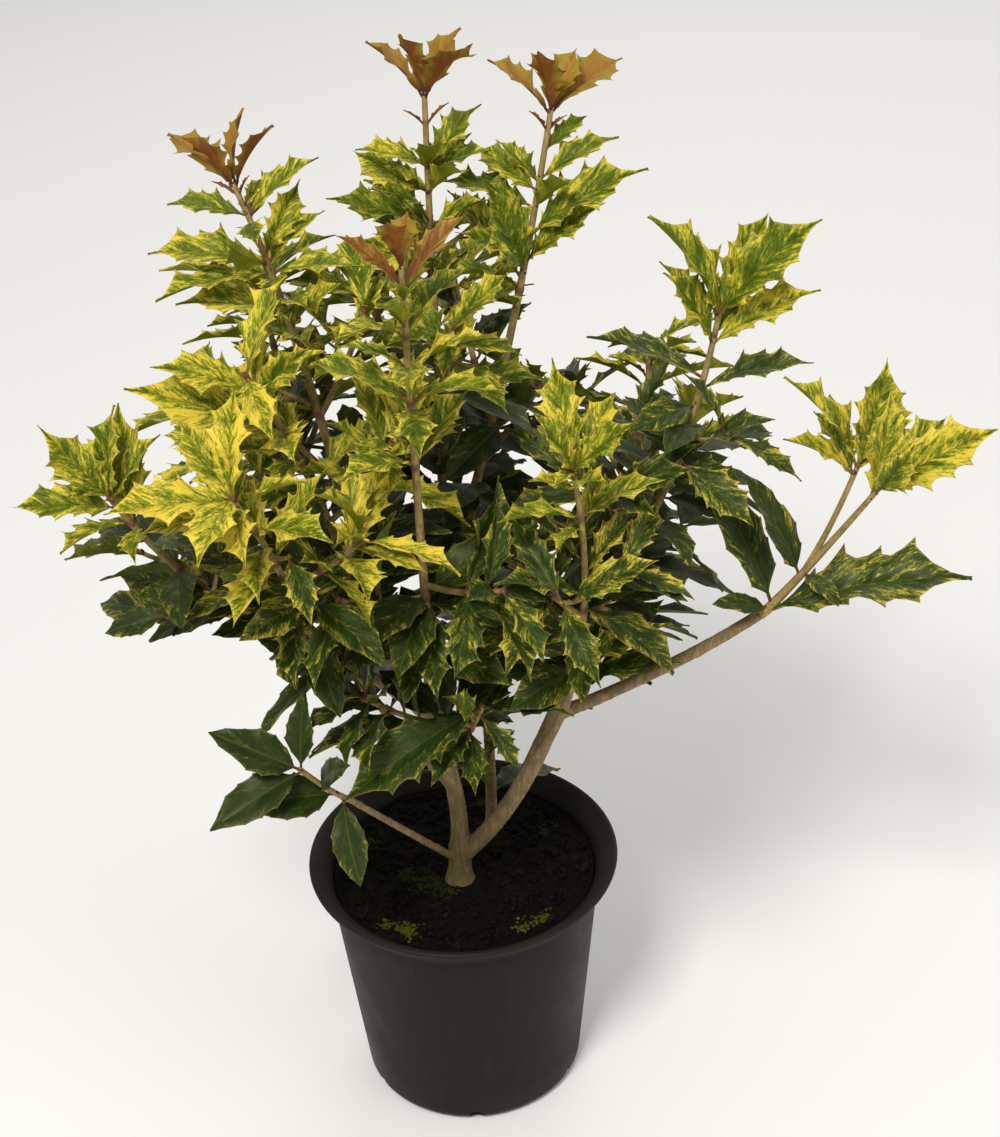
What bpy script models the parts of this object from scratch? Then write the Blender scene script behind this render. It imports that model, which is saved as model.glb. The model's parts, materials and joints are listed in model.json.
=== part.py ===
"""Tricolor holly olive in a round nursery pot, at its real size.

The pot stands on Z = 0 with its axis on Z, and the viewer's side of the plant is -Y.
A short trunk forks into two stems. They carry tapering boughs, and each bough ends where
it enters a mass of foliage: a stem with twigs and opposite pairs of leaves, fused into one solid.
Distances in the plant's tables are millimetres, and MM turns them into metres.
"""

import math
import random
from typing import NamedTuple

import bmesh
import bpy
from mathutils import Matrix, Vector, noise
from mathutils.bvhtree import BVHTree

MM = 0.001
NAME = "tricolor_holly_olive"
GAP = 0.3 * MM

# Pot: a 1.5 litre nursery pot with a flared lip.
POT_HEIGHT = 128 * MM
LIP_RADIUS = 75 * MM
LIP_EDGE = 3 * MM
LIP_DEPTH = 12 * MM
LIP_CURVE = 2.2
NECK_RADIUS = 65.4 * MM
HEEL_RADIUS = 54.1 * MM
HEEL_ROUND = 6 * MM
WALL = 1.6 * MM
FLOOR_TOP = 4.2 * MM
CHANNEL_DEPTH = 2 * MM
CHANNEL_OUTER = 45 * MM
CHANNEL_INNER = 22 * MM
POT_STEPS = 30
DRAIN_HOLES = 6
DRAIN_RADIUS = 3.6 * MM
DRAIN_LENGTH = 14 * MM
DRAIN_PLACE = (51.5 * MM, 3.5 * MM)
DRAIN_SLOPE = 125

# Soil: peat that fills the pot to a little below the lip.
SOIL_TOP = 118.5 * MM
SOIL_EDGE = 117.2 * MM
SOIL_SWELL = 1.8 * MM
SOIL_GRAIN = 90
SOIL_RINGS = (62 * MM, 50 * MM, 37 * MM, 24 * MM, 11 * MM)
SOIL_FLAT = 34 * MM

# Trunk: from its flat cut on the soil to its fork.
TRUNK_FOOT = (-2, -9, 118.8)
TRUNK_FORK = (-1, -9, 138)
TRUNK_RADII = ((0.0, 7.6), (0.12, 6.8), (0.3, 6.0), (0.6, 5.7), (1.0, 5.6))

# Limbs: parent, place along it from 0 to 1, middle point, tip, radius at root and at tip.
# A place of 1 goes on from the parent's end.
LIMBS = {
    "stem_left": ("trunk", 1, (-5, -8, 190), (-23, -10, 254), 4.6, 3.4),
    "stem_right": ("trunk", 0.72, (28, -16, 176), (52, -11, 231), 4.5, 3.8),
    "bough_left_tall": ("stem_left", 1, (-30, -5, 270), (-36, 3, 284), 3.1, 2.6),
    "bough_left_middle": ("stem_left", 0.93, (-33, -18, 262), (-40, -22, 282), 2.6, 2.1),
    "bough_back_tall": ("stem_left", 0.85, (-5, 20, 284), (1, 38, 328), 2.8, 2.2),
    "bough_front": ("stem_left", 0.75, (-9, -32, 256), (-8, -46, 300), 2.8, 2.2),
    "bough_far_left": ("stem_left", 0.66, (-38, -23, 252), (-77, -36, 293), 3.0, 2.3),
    "bough_left_front": ("bough_far_left", 0.50, (-57, -42, 286), (-61, -54, 304), 2.2, 1.9),
    "bough_back_right_tall": ("stem_left", 0.56, (4, 10, 258), (13, 26, 308), 3.0, 2.4),
    "bough_back_left": ("stem_left", 0.47, (-34, 30, 240), (-54, 52, 284), 2.8, 2.2),
    "bough_low_front": ("stem_left", 0.38, (-3, -25, 205), (3, -38, 222), 2.2, 1.9),
    "bough_low_back_left": ("stem_left", 0.29, (-34, 20, 200), (-62, 38, 230), 2.4, 1.9),
    "bough_low_left": ("trunk", 0.55, (-28, -34, 172), (-46, -52, 202), 1.9, 1.5),
    "bough_right_upright": ("stem_right", 1, (66, -5, 260), (76, -1, 284), 3.5, 2.9),
    "bough_far_right": ("stem_right", 0.86, (98, -16, 243), (139, -18, 270), 3.2, 2.6),
    "bough_right_middle": ("stem_right", 0.62, (47, -30, 224), (53, -40, 250), 2.4, 2.0),
    "bough_back_right": ("stem_right", 0.50, (62, 26, 232), (78, 52, 270), 2.8, 2.2),
    "bough_low_back_right": ("stem_right", 0.36, (48, 22, 198), (62, 44, 222), 2.4, 1.9),
    "bough_back": ("stem_right", 0.24, (14, 36, 204), (6, 62, 262), 2.8, 2.2),
}

# Foliage kinds: length, width over length, angle to the twig, bend along the midrib, fold of
# each half upward (degrees), and whether the solid's margin shows its spines.
KINDS = {
    "old": (62, 0.42, 64, 26, 14, False),
    "middle": (58, 0.45, 60, 30, 20, False),
    "young": (50, 0.52, 50, 36, 25, True),
    "copper": (44, 0.36, 46, 44, 28, False),
    "bronze": (34, 0.58, 34, 8, 34, True),
}

# Masses: bough, middle point and tip of the stem, leaf zones, twigs, and aimed leaves.
# A zone is a kind, its pairs of leaves, where they start and end along the stem, the scale
# of the leaves and the first pair's direction. A twig is its place, its tip from there, and
# its zones. An aimed leaf is its kind, its place on the stem and its tip from there, and
# the number of its twig where it grows on one.
MASSES = {
    "mass_front": (
        "bough_front", (-8, -56, 374), (-8, -60, 466),
        (("old", 1, 0.04, 0.04, 1.0, 20), ("young", 3, 0.46, 0.82, 0.95, 50)),
        ((0.04, (-36, -18, 12), (("middle", 2, 0.5, 1.0, 0.9, 30),)),
         (0.08, (34, -20, 8), (("middle", 2, 0.5, 1.0, 0.9, 60),))),
        (("copper", 0.945, (-25, 1, 23)), ("bronze", 1.0, (-4, -10, 24)),
         ("bronze", 1.0, (4, 10, 20)), ("young", 0.73, (2, -42, 8)),
         ("middle", 0.02, (-38, -30, -14)), ("middle", 0.02, (44, -24, -4)),
         ("copper", 0.945, (23, 6, 30)), ("old", 0.05, (50, 6, 28)),
         ("middle", 0.02, (2, -44, -22))),
    ),
    "mass_back_tall": (
        "bough_back_tall", (1, 51, 410), (2, 58, 490),
        (("old", 2, 0.04, 0.18, 1.0, 40), ("young", 2, 0.36, 0.52, 0.95, 10)),
        ((0.10, (7, -46, 66), (("young", 3, 0.45, 1.0, 0.85, 30),)),
         (0.16, (-32, 14, 46), (("middle", 1, 0.5, 0.5, 1.0, 0), ("young", 2, 0.75, 1.0, 0.9, 60)))),
        (("bronze", 0.99, (-24, 9, 23)), ("bronze", 1.0, (-9, -10, 32)),
         ("bronze", 0.99, (13, -16, 38)), ("bronze", 1.0, (17, 10, 27)),
         ("young", 0.74, (-18, -8, 16)), ("young", 0.81, (-31, -4, 10)),
         ("young", 0.8, (23, 4, 28)), ("young", 0.79, (25, -12, 13)),
         ("young", 0.64, (-29, 24, 14)), ("young", 0.73, (20, 20, 20)),
         ("young", 0.63, (-44, -8, 21)), ("young", 0.62, (26, -16, 22))),
    ),
    "mass_back_right_tall": (
        "bough_back_right_tall", (37, 46, 396), (55, 55, 482),
        (("old", 2, 0.05, 0.20, 1.0, 70), ("young", 1, 0.56, 0.56, 0.9, 40)),
        ((0.12, (28, 26, 22), (("middle", 2, 0.4, 0.75, 0.9, 45), ("young", 1, 1.0, 1.0, 0.8, 0))),
         (0.22, (-14, 34, 56), (("middle", 2, 0.4, 0.75, 0.9, 0), ("young", 1, 1.0, 1.0, 0.9, 45)))),
        (("bronze", 0.99, (-26, 6, 23)), ("young", 0.69, (-20, -7, 30)),
         ("young", 0.62, (-30, -8, 20)), ("bronze", 1.0, (-5, -10, 31)),
         ("young", 0.9, (19, 0, 17)), ("bronze", 1.0, (9, 8, 27)), ("young", 0.83, (35, 4, 16)),
         ("young", 0.69, (52, -6, 31)), ("young", 0.82, (-18, 10, 17)),
         ("bronze", 0.99, (29, -1, 28)), ("old", 0.04, (-14, -36, -2)),
         ("old", 0.11, (-22, -26, 10)), ("young", 0.62, (34, -4, 30)),
         ("young", 0.76, (-42, -1, 14))),
    ),
    "mass_left_tall": (
        "bough_left_tall", (-58, 22, 392), (-79, 30, 466),
        (("old", 2, 0.06, 0.20, 1.0, 0), ("young", 2, 0.44, 0.60, 0.9, 30)),
        ((0.42, (24, -6, 54), (("young", 2, 0.55, 1.0, 0.85, 30),)),
         (0.26, (-34, 10, 40), (("middle", 1, 0.5, 0.5, 0.9, 0), ("young", 2, 0.75, 1.0, 0.85, 45)))),
        (("bronze", 1.0, (-19, -6, 25)), ("bronze", 1.0, (6, 12, 30)),
         ("bronze", 0.99, (15, -1, 31)), ("young", 0.92, (-34, 4, 5)),
         ("young", 0.92, (32, 4, 23)), ("young", 0.91, (12, 22, 9)),
         ("bronze", 0.99, (-25, 10, 27)), ("young", 0.9, (5, -30, 2)), ("young", 0.91, (5, 23, 9)),
         ("young", 0.8, (-50, -4, 9)), ("young", 0.8, (26, 6, 21)),
         ("young", 0.78, (-48, -18, -3)), ("young", 0.78, (40, -8, 4)),
         ("young", 0.76, (2, -32, 6)), ("young", 0.68, (-46, -8, 10)),
         ("young", 0.64, (26, -10, 26))),
    ),
    "mass_left_middle": (
        "bough_left_middle", (-50, -31, 346), (-74, -46, 416),
        (("old", 2, 0.06, 0.22, 1.0, 30), ("young", 3, 0.52, 1.0, 0.95, 40)),
        ((0.38, (30, -12, 44), (("young", 2, 0.55, 1.0, 0.9, 0),)),
         (0.45, (-42, -2, 26), (("young", 2, 0.55, 1.0, 0.9, 30),))),
        (("young", 0.72, (-62, -16, 36)), ("young", 0.68, (-44, -20, 12)), ("young", 0.92, (-40, -14, 21))),
    ),
    "mass_left_front": (
        "bough_left_front", (-67, -76, 346), (-79, -92, 386),
        (("middle", 1, 0.12, 0.12, 1.0, 20), ("young", 3, 0.50, 1.0, 1.0, 60)),
        ((0.30, (34, -12, 28), (("young", 3, 0.4, 1.0, 0.95, 0),)),),
        (("young", 0.92, (-21, 4, 37)), ("young", 0.96, (-48, -22, 10))),
    ),
    "mass_far_left": (
        "bough_far_left", (-108, -43, 320), (-135, -48, 363),
        (("old", 2, 0.12, 0.50, 0.85, 20), ("young", 1, 0.84, 0.84, 0.8, 60)),
        ((0.20, (-26, -12, 2), (("old", 1, 1.0, 1.0, 0.8, 0),)),),
        (("young", 0.98, (-24, -7, 41)), ("young", 0.93, (-42, -6, 6)), ("young", 1.0, (6, 7, 41)),
         ("young", 0.98, (22, 4, 28)), ("old", 0.32, (-26, -26, 19))),
    ),
    "mass_low_left": (
        "bough_low_left", (-56, -60, 216), (-67, -68, 234),
        (),
        (),
        (("old", 1.0, (-38, -4, 26)), ("old", 0.94, (-40, -24, -12)), ("old", 0.30, (-42, -28, 13)),
         ("old", 0.97, (4, 12, 34)), ("old", 0.20, (6, -20, -36)), ("old", 0.6, (16, -22, 26))),
    ),
    "mass_low_front": (
        "bough_low_front", (9, -45, 236), (14, -50, 250),
        (("middle", 1, 0.45, 0.45, 0.8, 50),),
        ((0.4, (-46, -8, 26), (("middle", 3, 0.45, 1.0, 0.9, 20),)),),
        (("middle", 0.95, (-62, -38, -20)), ("young", 0.7, (-14, -17, 25)),
         ("middle", 0.95, (40, -26, 12)), ("middle", 0.8, (17, -10, -25)),
         ("middle", 0.95, (-28, -11, -9), 1)),
    ),
    "mass_right_tall": (
        "bough_right_upright", (104, 6, 338), (123, 12, 406),
        (("old", 3, 0.06, 0.40, 0.9, 10),),
        ((0.18, (-22, -20, 34), (("middle", 2, 0.5, 1.0, 0.9, 30),)),),
        (("young", 0.98, (-31, -6, 50)), ("young", 0.98, (42, -6, 45)),
         ("young", 0.9, (-22, 18, 29)), ("young", 1.0, (23, 23, 35)),
         ("middle", 0.76, (-49, 13, 19)), ("young", 0.9, (22, 28, 24)),
         ("young", 0.88, (43, -10, 29)), ("middle", 0.72, (48, -8, 14)),
         ("middle", 0.46, (42, -12, 24)), ("old", 0.66, (-30, -24, 2)),
         ("young", 0.88, (-21, -8, 38)), ("old", 0.6, (-14, -34, 4)),
         ("old", 0.45, (-20, 26, 20))),
    ),
    "mass_far_right": (
        "bough_far_right", (160, -18, 294), (187, -28, 338),
        (),
        ((0.33, (24, 10, 48), ()),),
        (("young", 1.0, (48, -8, 32)), ("old", 0.33, (12, -26, -2)), ("young", 1.0, (12, -15, 31)),
         ("young", 1.0, (12, 8, 49), 1), ("young", 1.0, (-34, -2, 47), 1),
         ("young", 0.9, (-33, -8, 24), 1), ("young", 0.97, (34, 24, 22)),
         ("young", 0.9, (-14, 30, 16), 1), ("middle", 0.03, (89, -14, 21)),
         ("old", 0.08, (-31, 14, 60)), ("old", 0.3, (-26, 8, 50)), ("young", 0.92, (13, 5, 47)),
         ("old", 0.05, (-27, -16, 14))),
    ),
    "mass_right_middle": (
        "bough_right_middle", (60, -50, 310), (56, -55, 370),
        (("old", 2, 0.10, 0.40, 0.95, 40), ("young", 1, 0.80, 0.80, 0.8, 20)),
        ((0.36, (-24, 0, 26), (("middle", 2, 0.5, 1.0, 0.9, 30),)),),
        (("young", 0.98, (-17, -6, 34)), ("young", 1.0, (27, -6, 26)),
         ("middle", 0.46, (-39, -20, 20)), ("young", 1.0, (-5, 23, 42)),
         ("middle", 0.6, (-26, -2, 31)), ("young", 0.98, (13, 9, 36)),
         ("young", 1.0, (-9, -15, 2)), ("young", 0.92, (-20, -11, 11)),
         ("young", 0.92, (12, -28, 18)), ("middle", 0.04, (41, -20, 42)),
         ("old", 0.1, (-30, -34, 4)), ("middle", 0.03, (-46, -8, 14)),
         ("middle", 0.02, (48, -22, 24)), ("middle", 0.55, (26, 6, 30))),
    ),
    "mass_low_back_left": (
        "bough_low_back_left", (-84, 50, 256), (-106, 58, 288),
        (("old", 2, 0.15, 0.50, 0.9, 20), ("middle", 2, 0.8, 1.0, 0.9, 30)),
        ((0.35, (-22, -30, 26), (("old", 2, 0.5, 1.0, 0.9, 0),)),),
        (),
    ),
    "mass_back_left": (
        "bough_back_left", (-68, 66, 336), (-78, 80, 396),
        (("old", 1, 0.10, 0.10, 1.0, 0), ("middle", 2, 0.32, 0.52, 0.95, 30),
         ("young", 3, 0.76, 1.0, 0.9, 20)),
        ((0.22, (-46, 4, 34), (("middle", 1, 0.5, 0.5, 0.9, 0), ("young", 1, 1.0, 1.0, 0.9, 45))),
         (0.30, (18, 32, 42), (("middle", 1, 0.5, 0.5, 0.9, 45), ("young", 1, 1.0, 1.0, 0.9, 0)))),
        (),
    ),
    "mass_back": (
        "bough_back", (6, 84, 322), (8, 98, 388),
        (("old", 1, 0.10, 0.10, 1.0, 45), ("middle", 2, 0.32, 0.52, 0.95, 0),
         ("young", 3, 0.76, 1.0, 0.9, 40)),
        ((0.12, (-34, 28, 30), (("middle", 2, 0.6, 1.0, 0.9, 45),)),
         (0.16, (36, 24, 34), (("middle", 2, 0.6, 1.0, 0.9, 45),))),
        (),
    ),
    "mass_back_right": (
        "bough_back_right", (92, 74, 306), (100, 94, 350),
        (("old", 1, 0.10, 0.10, 1.0, 20), ("middle", 2, 0.32, 0.54, 0.9, 60),
         ("young", 3, 0.78, 1.0, 0.85, 0)),
        ((0.18, (34, 26, 26), (("old", 1, 0.5, 0.5, 0.9, 0), ("young", 2, 0.85, 1.0, 0.85, 45))),
         (0.28, (-22, 30, 40), (("middle", 2, 0.5, 1.0, 0.9, 45),))),
        (),
    ),
    "mass_low_back_right": (
        "bough_low_back_right", (72, 62, 238), (84, 78, 258),
        (("old", 2, 0.15, 0.5, 0.85, 30), ("middle", 2, 0.8, 1.0, 0.85, 0)),
        ((0.3, (8, 34, 22), (("old", 2, 0.5, 1.0, 0.9, 45),)),),
        (),
    ),
}

# Leaf rows: place along the midrib, place along the margin, half width over full width, lift.
# An aimed leaf turns its upper side between its stem's way and its kind's light.
SPINY_ROWS = ((0.36, 0.43, 0.50, 0.05), (0.46, 0.48, 0.33, -0.03), (0.66, 0.74, 0.42, 0.05))
PLAIN_ROWS = ((0.34, 0.34, 0.46, 0.02), (0.68, 0.68, 0.44, 0.0))
PETIOLE_END = 0.12
ROOT_DEPTH = 0.35
PETIOLE_HALF = 0.7
LEAF_THICKNESS = 0.014
LEAF_CLEARANCE = 0.6
LEAF_TRIES = 14
LIGHT = (0, 0, 0.9)
AIMED_LIGHT = {
    "old": (0, -0.9, 0.8), "middle": (0, -0.3, 1.0), "young": (0, -0.7, 0.5), "copper": (0, -0.7, 0.5),
    "bronze": (0, 0, 0),
}
LOWER_SPREAD = 14
STEEPEST_ROOT = -0.12
SEED = 9

# Openings: where the crown stays open for a viewer at the eye, as boxes on the plane Y = 0:
# left, right, bottom and top. The first shows the trunk and its fork.
EYE = (24, -845, 823)
OPENINGS = (
    (-16, 33, 100, 152),
    (54, 88, 120, 184),
    (88, 200, 120, 212),
    (116, 150, 120, 254),
    (47, 88, 404, 440),
    (30, 63, 397, 405),
    (86, 98, 403, 425),
    (-176, -84, 222, 256),
)

# Tubes: sides of each, and pieces along them.
TRUNK_SIDES = 12
STEM_SIDES = 8
BOUGH_SIDES = 6
MASS_STEM_SIDES = 4
TWIG_SIDES = 3
LIMB_PIECES = 5
TWIG_PIECES = 3
TWIG_SAG = 0.06
TWIG_RADIUS = 1.5
SHOOT_TIP_RADIUS = 1.2


class Leaf(NamedTuple):
    """One leaf: where it grows, the way it goes, its upward side, sizes, and its twig's radius."""

    base: Vector
    along: Vector
    up: Vector
    length: float
    width: float
    bend: float
    fold: float
    spiny: bool
    stem_radius: float


def through(start, middle, end, pieces):
    """Points of a parabola that starts at one point, passes a second and ends at a third."""
    pull = 2 * middle - (start + end) / 2
    points = []
    for i in range(pieces + 1):
        t = i / pieces
        points.append((1 - t) ** 2 * start + 2 * t * (1 - t) * pull + t * t * end)
    return points


def at_place(points, radii, place):
    """The point, direction and radius at a place from 0 to 1 along the points."""
    steps = [(b - a).length for a, b in zip(points, points[1:])]
    left = place * sum(steps)
    for i, step in enumerate(steps):
        if left <= step or i == len(steps) - 1:
            t = min(left / step, 1.0)
            direction = (points[i + 1] - points[i]).normalized()
            return points[i].lerp(points[i + 1], t), direction, radii[i] + (radii[i + 1] - radii[i]) * t
        left -= step
    raise ValueError("a limb needs at least two points")


def taper(root, tip, count):
    """Radii that fall evenly from the root to the tip."""
    return [root + (tip - root) * i / (count - 1) for i in range(count)]


def grow_limbs():
    """The points and radii of the trunk and of every limb, in millimetres.

    The trunk starts upright, so its foot is a level cut.
    """
    foot = Vector(TRUNK_FOOT)
    fork = Vector(TRUNK_FORK)
    points = [foot.lerp(fork, t) for t, _ in TRUNK_RADII]
    points[1].xy = foot.xy
    limbs = {"trunk": (points, [r for _, r in TRUNK_RADII])}
    for name, (parent, place, middle, tip, root_radius, tip_radius) in LIMBS.items():
        start, direction, _ = at_place(*limbs[parent], place)
        points = []
        if place == 1:
            points = [start + direction * GAP / MM]
            start = start + direction * 3
        points += through(start, Vector(middle), Vector(tip), LIMB_PIECES)
        limbs[name] = (points, taper(root_radius, tip_radius, len(points)))
    return limbs


def grow_stems(limbs):
    """For each mass, its stem and its twigs: points, radii, sides and leaf zones."""
    masses = {}
    for name, (bough, middle, tip, zones, twigs, _) in MASSES.items():
        end, direction, radius = at_place(*limbs[bough], 1)
        start = end + direction * 3
        points = [end + direction * GAP / MM] + through(start, Vector(middle), Vector(tip), LIMB_PIECES)
        radii = taper(radius, SHOOT_TIP_RADIUS, len(points))
        stems = [(points, radii, MASS_STEM_SIDES, zones)]
        for place, reach, twig_zones in twigs:
            root, along, _ = at_place(points, radii, place)
            reach = Vector(reach)
            sag = Vector((0, 0, TWIG_SAG * reach.length))
            twig = through(root, root + reach * 0.5 - sag, root + reach, TWIG_PIECES)
            stems.append((twig, taper(TWIG_RADIUS, SHOOT_TIP_RADIUS, len(twig)), TWIG_SIDES, twig_zones))
        masses[name] = stems
    return masses


def leaf_sections(leaf, clearance, start):
    """Places along midrib and margin, half width, lift and half thickness of each section."""
    thin = max(LEAF_THICKNESS * leaf.length, 0.5) / 2 + clearance
    sections = [(start, start, PETIOLE_HALF + clearance, 0, PETIOLE_HALF + clearance)]
    for along_rib, along_margin, half, lift in SPINY_ROWS if leaf.spiny else PLAIN_ROWS:
        sections.append((along_rib, along_margin, half * leaf.width + clearance, lift * leaf.width, thin))
    return sections


def leaf_shape(leaf, clearance=0.0, start=None):
    """Vertices and triangles of a leaf as a thin closed blade, or with some clearance round it.

    Without a start, the blade's root is sunk in the stem that it grows on.
    """
    if start is None:
        start = ROOT_DEPTH * leaf.stem_radius / leaf.length
    side = leaf.up.cross(leaf.along)
    verts = []
    for along_rib, along_margin, half, lift, thin in leaf_sections(leaf, clearance, start):
        middle, normal = on_midrib(leaf, along_rib)
        edge, edge_normal = on_midrib(leaf, along_margin)
        fold = leaf.fold if lift else 0
        out = side * half * math.cos(fold)
        rise = edge_normal * (half * math.sin(fold) + lift)
        verts += [edge + out + rise, middle - normal * thin, edge - out + rise, middle + normal * thin]
    tip = on_midrib(leaf, 1)[0]
    return verts + [tip], leaf_faces(len(verts) // 4)


def on_midrib(leaf, place):
    """The point at a place along the leaf's midrib, which bends as an arc, and its upward side."""
    angle = leaf.bend * place
    ahead = math.sin(angle) / leaf.bend * leaf.length
    down = (1 - math.cos(angle)) / leaf.bend * leaf.length
    point = leaf.base + leaf.along * ahead - leaf.up * down
    return point, leaf.up * math.cos(angle) + leaf.along * math.sin(angle)


def leaf_faces(sections):
    """Triangles of a leaf with that many four-sided sections and one tip."""
    faces = [(0, 1, 2), (0, 2, 3)]
    for first in range(0, 4 * (sections - 1), 4):
        for k in range(4):
            margin_first = k % 2 == 0
            a, b = first + k, first + (k + 1) % 4
            if margin_first:
                faces += [(a, a + 4, b), (b, a + 4, b + 4)]
            else:
                faces += [(a, a + 4, b + 4), (a, b + 4, b)]
    last = 4 * (sections - 1)
    tip = 4 * sections
    for k in range(4):
        faces.append((last + k, tip, last + (k + 1) % 4))
    return faces


def ring_shape(points, radii, sides):
    """Vertices and faces of a plain tube, for the tests that keep leaves off the limbs."""
    verts = []
    faces = []
    for i, (point, radius) in enumerate(zip(points, radii)):
        ahead = points[min(i + 1, len(points) - 1)] - points[max(i - 1, 0)]
        turn = ahead.to_track_quat("Z", "Y")
        for k in range(sides):
            angle = 2 * math.pi * k / sides
            verts.append(point + turn @ Vector((math.cos(angle), math.sin(angle), 0)) * radius)
        if i:
            for k in range(sides):
                a = (i - 1) * sides + k
                b = (i - 1) * sides + (k + 1) % sides
                faces.append((a, b, b + sides, a + sides))
    return verts, faces


class Space:
    """What already stands: the limbs and stems as one tree, and each leaf with its mass and sphere."""

    def __init__(self, tubes):
        verts = []
        faces = []
        for points, radii in tubes:
            tube_verts, tube_faces = ring_shape(points, radii, 6)
            faces += [tuple(i + len(verts) for i in face) for face in tube_faces]
            verts += tube_verts
        self.limbs = BVHTree.FromPolygons(verts, faces)
        self.leaves = []

    def takes(self, leaf, mass):
        """Adds the leaf if it stays clear of everything, and says whether it did.

        Leaf stalks may meet inside their own mass, where they are fused.
        """
        verts, faces = leaf_shape(leaf, LEAF_CLEARANCE, PETIOLE_END)
        rim = LIP_RADIUS / MM + 2
        for v in verts:
            if v.z < POT_HEIGHT / MM + 3 and v.x * v.x + v.y * v.y < rim * rim:
                return False
            if in_opening(v):
                return False
        blade = BVHTree.FromPolygons(verts, faces)
        if blade.overlap(self.limbs):
            return False
        verts, faces = leaf_shape(leaf, LEAF_CLEARANCE)
        whole = BVHTree.FromPolygons(verts, faces)
        centre = (verts[0] + verts[-1]) / 2
        reach = max((v - centre).length for v in verts)
        for other_blade, other_whole, other_mass, other_centre, other_reach in self.leaves:
            if (centre - other_centre).length < reach + other_reach:
                if blade.overlap(other_blade) or (mass != other_mass and whole.overlap(other_whole)):
                    return False
        self.leaves.append((blade, whole, mass, centre, reach))
        return True


def in_opening(point):
    """Whether the point hides or fills one of the openings."""
    eye = Vector(EYE)
    seen = eye + (point - eye) * eye.y / (eye.y - point.y)
    return any(left < seen.x < right and low < seen.z < high for left, right, low, high in OPENINGS)


def square_to(along, up):
    """The up direction made square to the leaf's own direction."""
    flat = up - along * along.dot(up)
    if flat.length < 1e-3:
        flat = along.orthogonal()
    return flat.normalized()


def place_leaf(rng, space, mass, kind, scale, place, base, stem, around, stem_radius):
    """One leaf at the base, turned a little at each try until it stands clear, or None.

    Leaves spread more the lower they are on their stem, and none starts steeply downward.
    """
    size, ratio, tilt, bend, fold, spiny = KINDS[kind]
    length = size * scale * rng.uniform(0.88, 1.12)
    for attempt in range(LEAF_TRIES):
        spread = 1 + 0.35 * attempt
        angle = math.radians(tilt + LOWER_SPREAD * (1 - place) + rng.uniform(-7, 7) * spread)
        turn = Matrix.Rotation(math.radians(rng.uniform(-12, 12) * spread), 3, stem)
        along = stem * math.cos(angle) + (turn @ around) * math.sin(angle)
        along = Vector((along.x, along.y, max(along.z, STEEPEST_ROOT))).normalized()
        roll = Matrix.Rotation(math.radians(rng.uniform(-14, 14)), 3, along)
        up = roll @ square_to(along, stem + Vector(LIGHT))
        arc = math.radians(bend * rng.uniform(0.7, 1.3))
        width = length * ratio * rng.uniform(0.92, 1.08)
        crease = math.radians(fold * rng.uniform(0.8, 1.2))
        leaf = Leaf(base, along, up, length, width, arc, crease, spiny, stem_radius)
        if space.takes(leaf, mass):
            return leaf
        length *= 0.98
    return None


def aim_leaf(rng, space, mass, kind, base, stem, reach, stem_radius):
    """One leaf from the base to a tip at that reach, moved a little at each try, or None."""
    _, ratio, _, bend, fold, spiny = KINDS[kind]
    for attempt in range(LEAF_TRIES):
        shift = Vector([rng.uniform(-1, 1) for _ in range(3)]) * 0.05 * attempt * reach.length
        chord = (reach + shift).normalized()
        arc = math.radians(bend)
        up = square_to(chord, stem + Vector(AIMED_LIGHT[kind]))
        along = chord * math.cos(arc / 2) + up * math.sin(arc / 2)
        up = up * math.cos(arc / 2) - chord * math.sin(arc / 2)
        length = reach.length * (arc / 2) / math.sin(arc / 2)
        leaf = Leaf(base, along, up, length, length * ratio, arc, math.radians(fold), spiny, stem_radius)
        if space.takes(leaf, mass):
            return leaf
    return None


def grow_leaves(limbs, masses):
    """The leaves of each mass, in opposite pairs that turn a quarter from node to node."""
    tubes = list(limbs.values())
    for stems in masses.values():
        tubes += [(points, radii) for points, radii, _, _ in stems]
    space = Space(tubes)
    leaves = {name: [] for name in masses}
    for name, stems in masses.items():
        rng = random.Random(f"{SEED} aimed {name}")
        for kind, place, reach, *twig in MASSES[name][-1]:
            points, radii, _, _ = stems[twig[0] if twig else 0]
            base, stem, radius = at_place(points, radii, min(place, last_node(points)))
            leaf = aim_leaf(rng, space, name, kind, base, stem, Vector(reach), radius)
            leaves[name].append((kind, leaf))
    for name, stems in masses.items():
        rng = random.Random(f"{SEED} {name}")
        for points, radii, _, zones in stems:
            for kind, pairs, first, last, scale, heading in zones:
                for pair in range(pairs):
                    place = min(first + (last - first) * pair / max(pairs - 1, 1), last_node(points))
                    base, stem, radius = at_place(points, radii, place)
                    level = square_to(stem, Vector((1, 0, 0)))
                    turn = math.radians(heading + 90 * pair + rng.uniform(-10, 10))
                    for half in (0, math.pi):
                        around = Matrix.Rotation(turn + half, 3, stem) @ level
                        leaf = place_leaf(rng, space, name, kind, scale, place, base, stem, around, radius)
                        leaves[name].append((kind, leaf))
    return {name: [(kind, leaf) for kind, leaf in pairs if leaf] for name, pairs in leaves.items()}


def last_node(points):
    """The highest place on a stem where a leaf's root is still inside it."""
    return 1 - 1.6 / sum((b - a).length for a, b in zip(points, points[1:]))


def new_material(name, colour, roughness):
    """A Principled material of one colour."""
    material = bpy.data.materials.new(name)
    material.use_nodes = True
    shader = material.node_tree.nodes["Principled BSDF"]
    shader.inputs["Base Color"].default_value = (*colour, 1)
    shader.inputs["Roughness"].default_value = roughness
    shader.inputs["Metallic"].default_value = 0.0
    material.diffuse_color = (*colour, 1)
    return material


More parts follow.
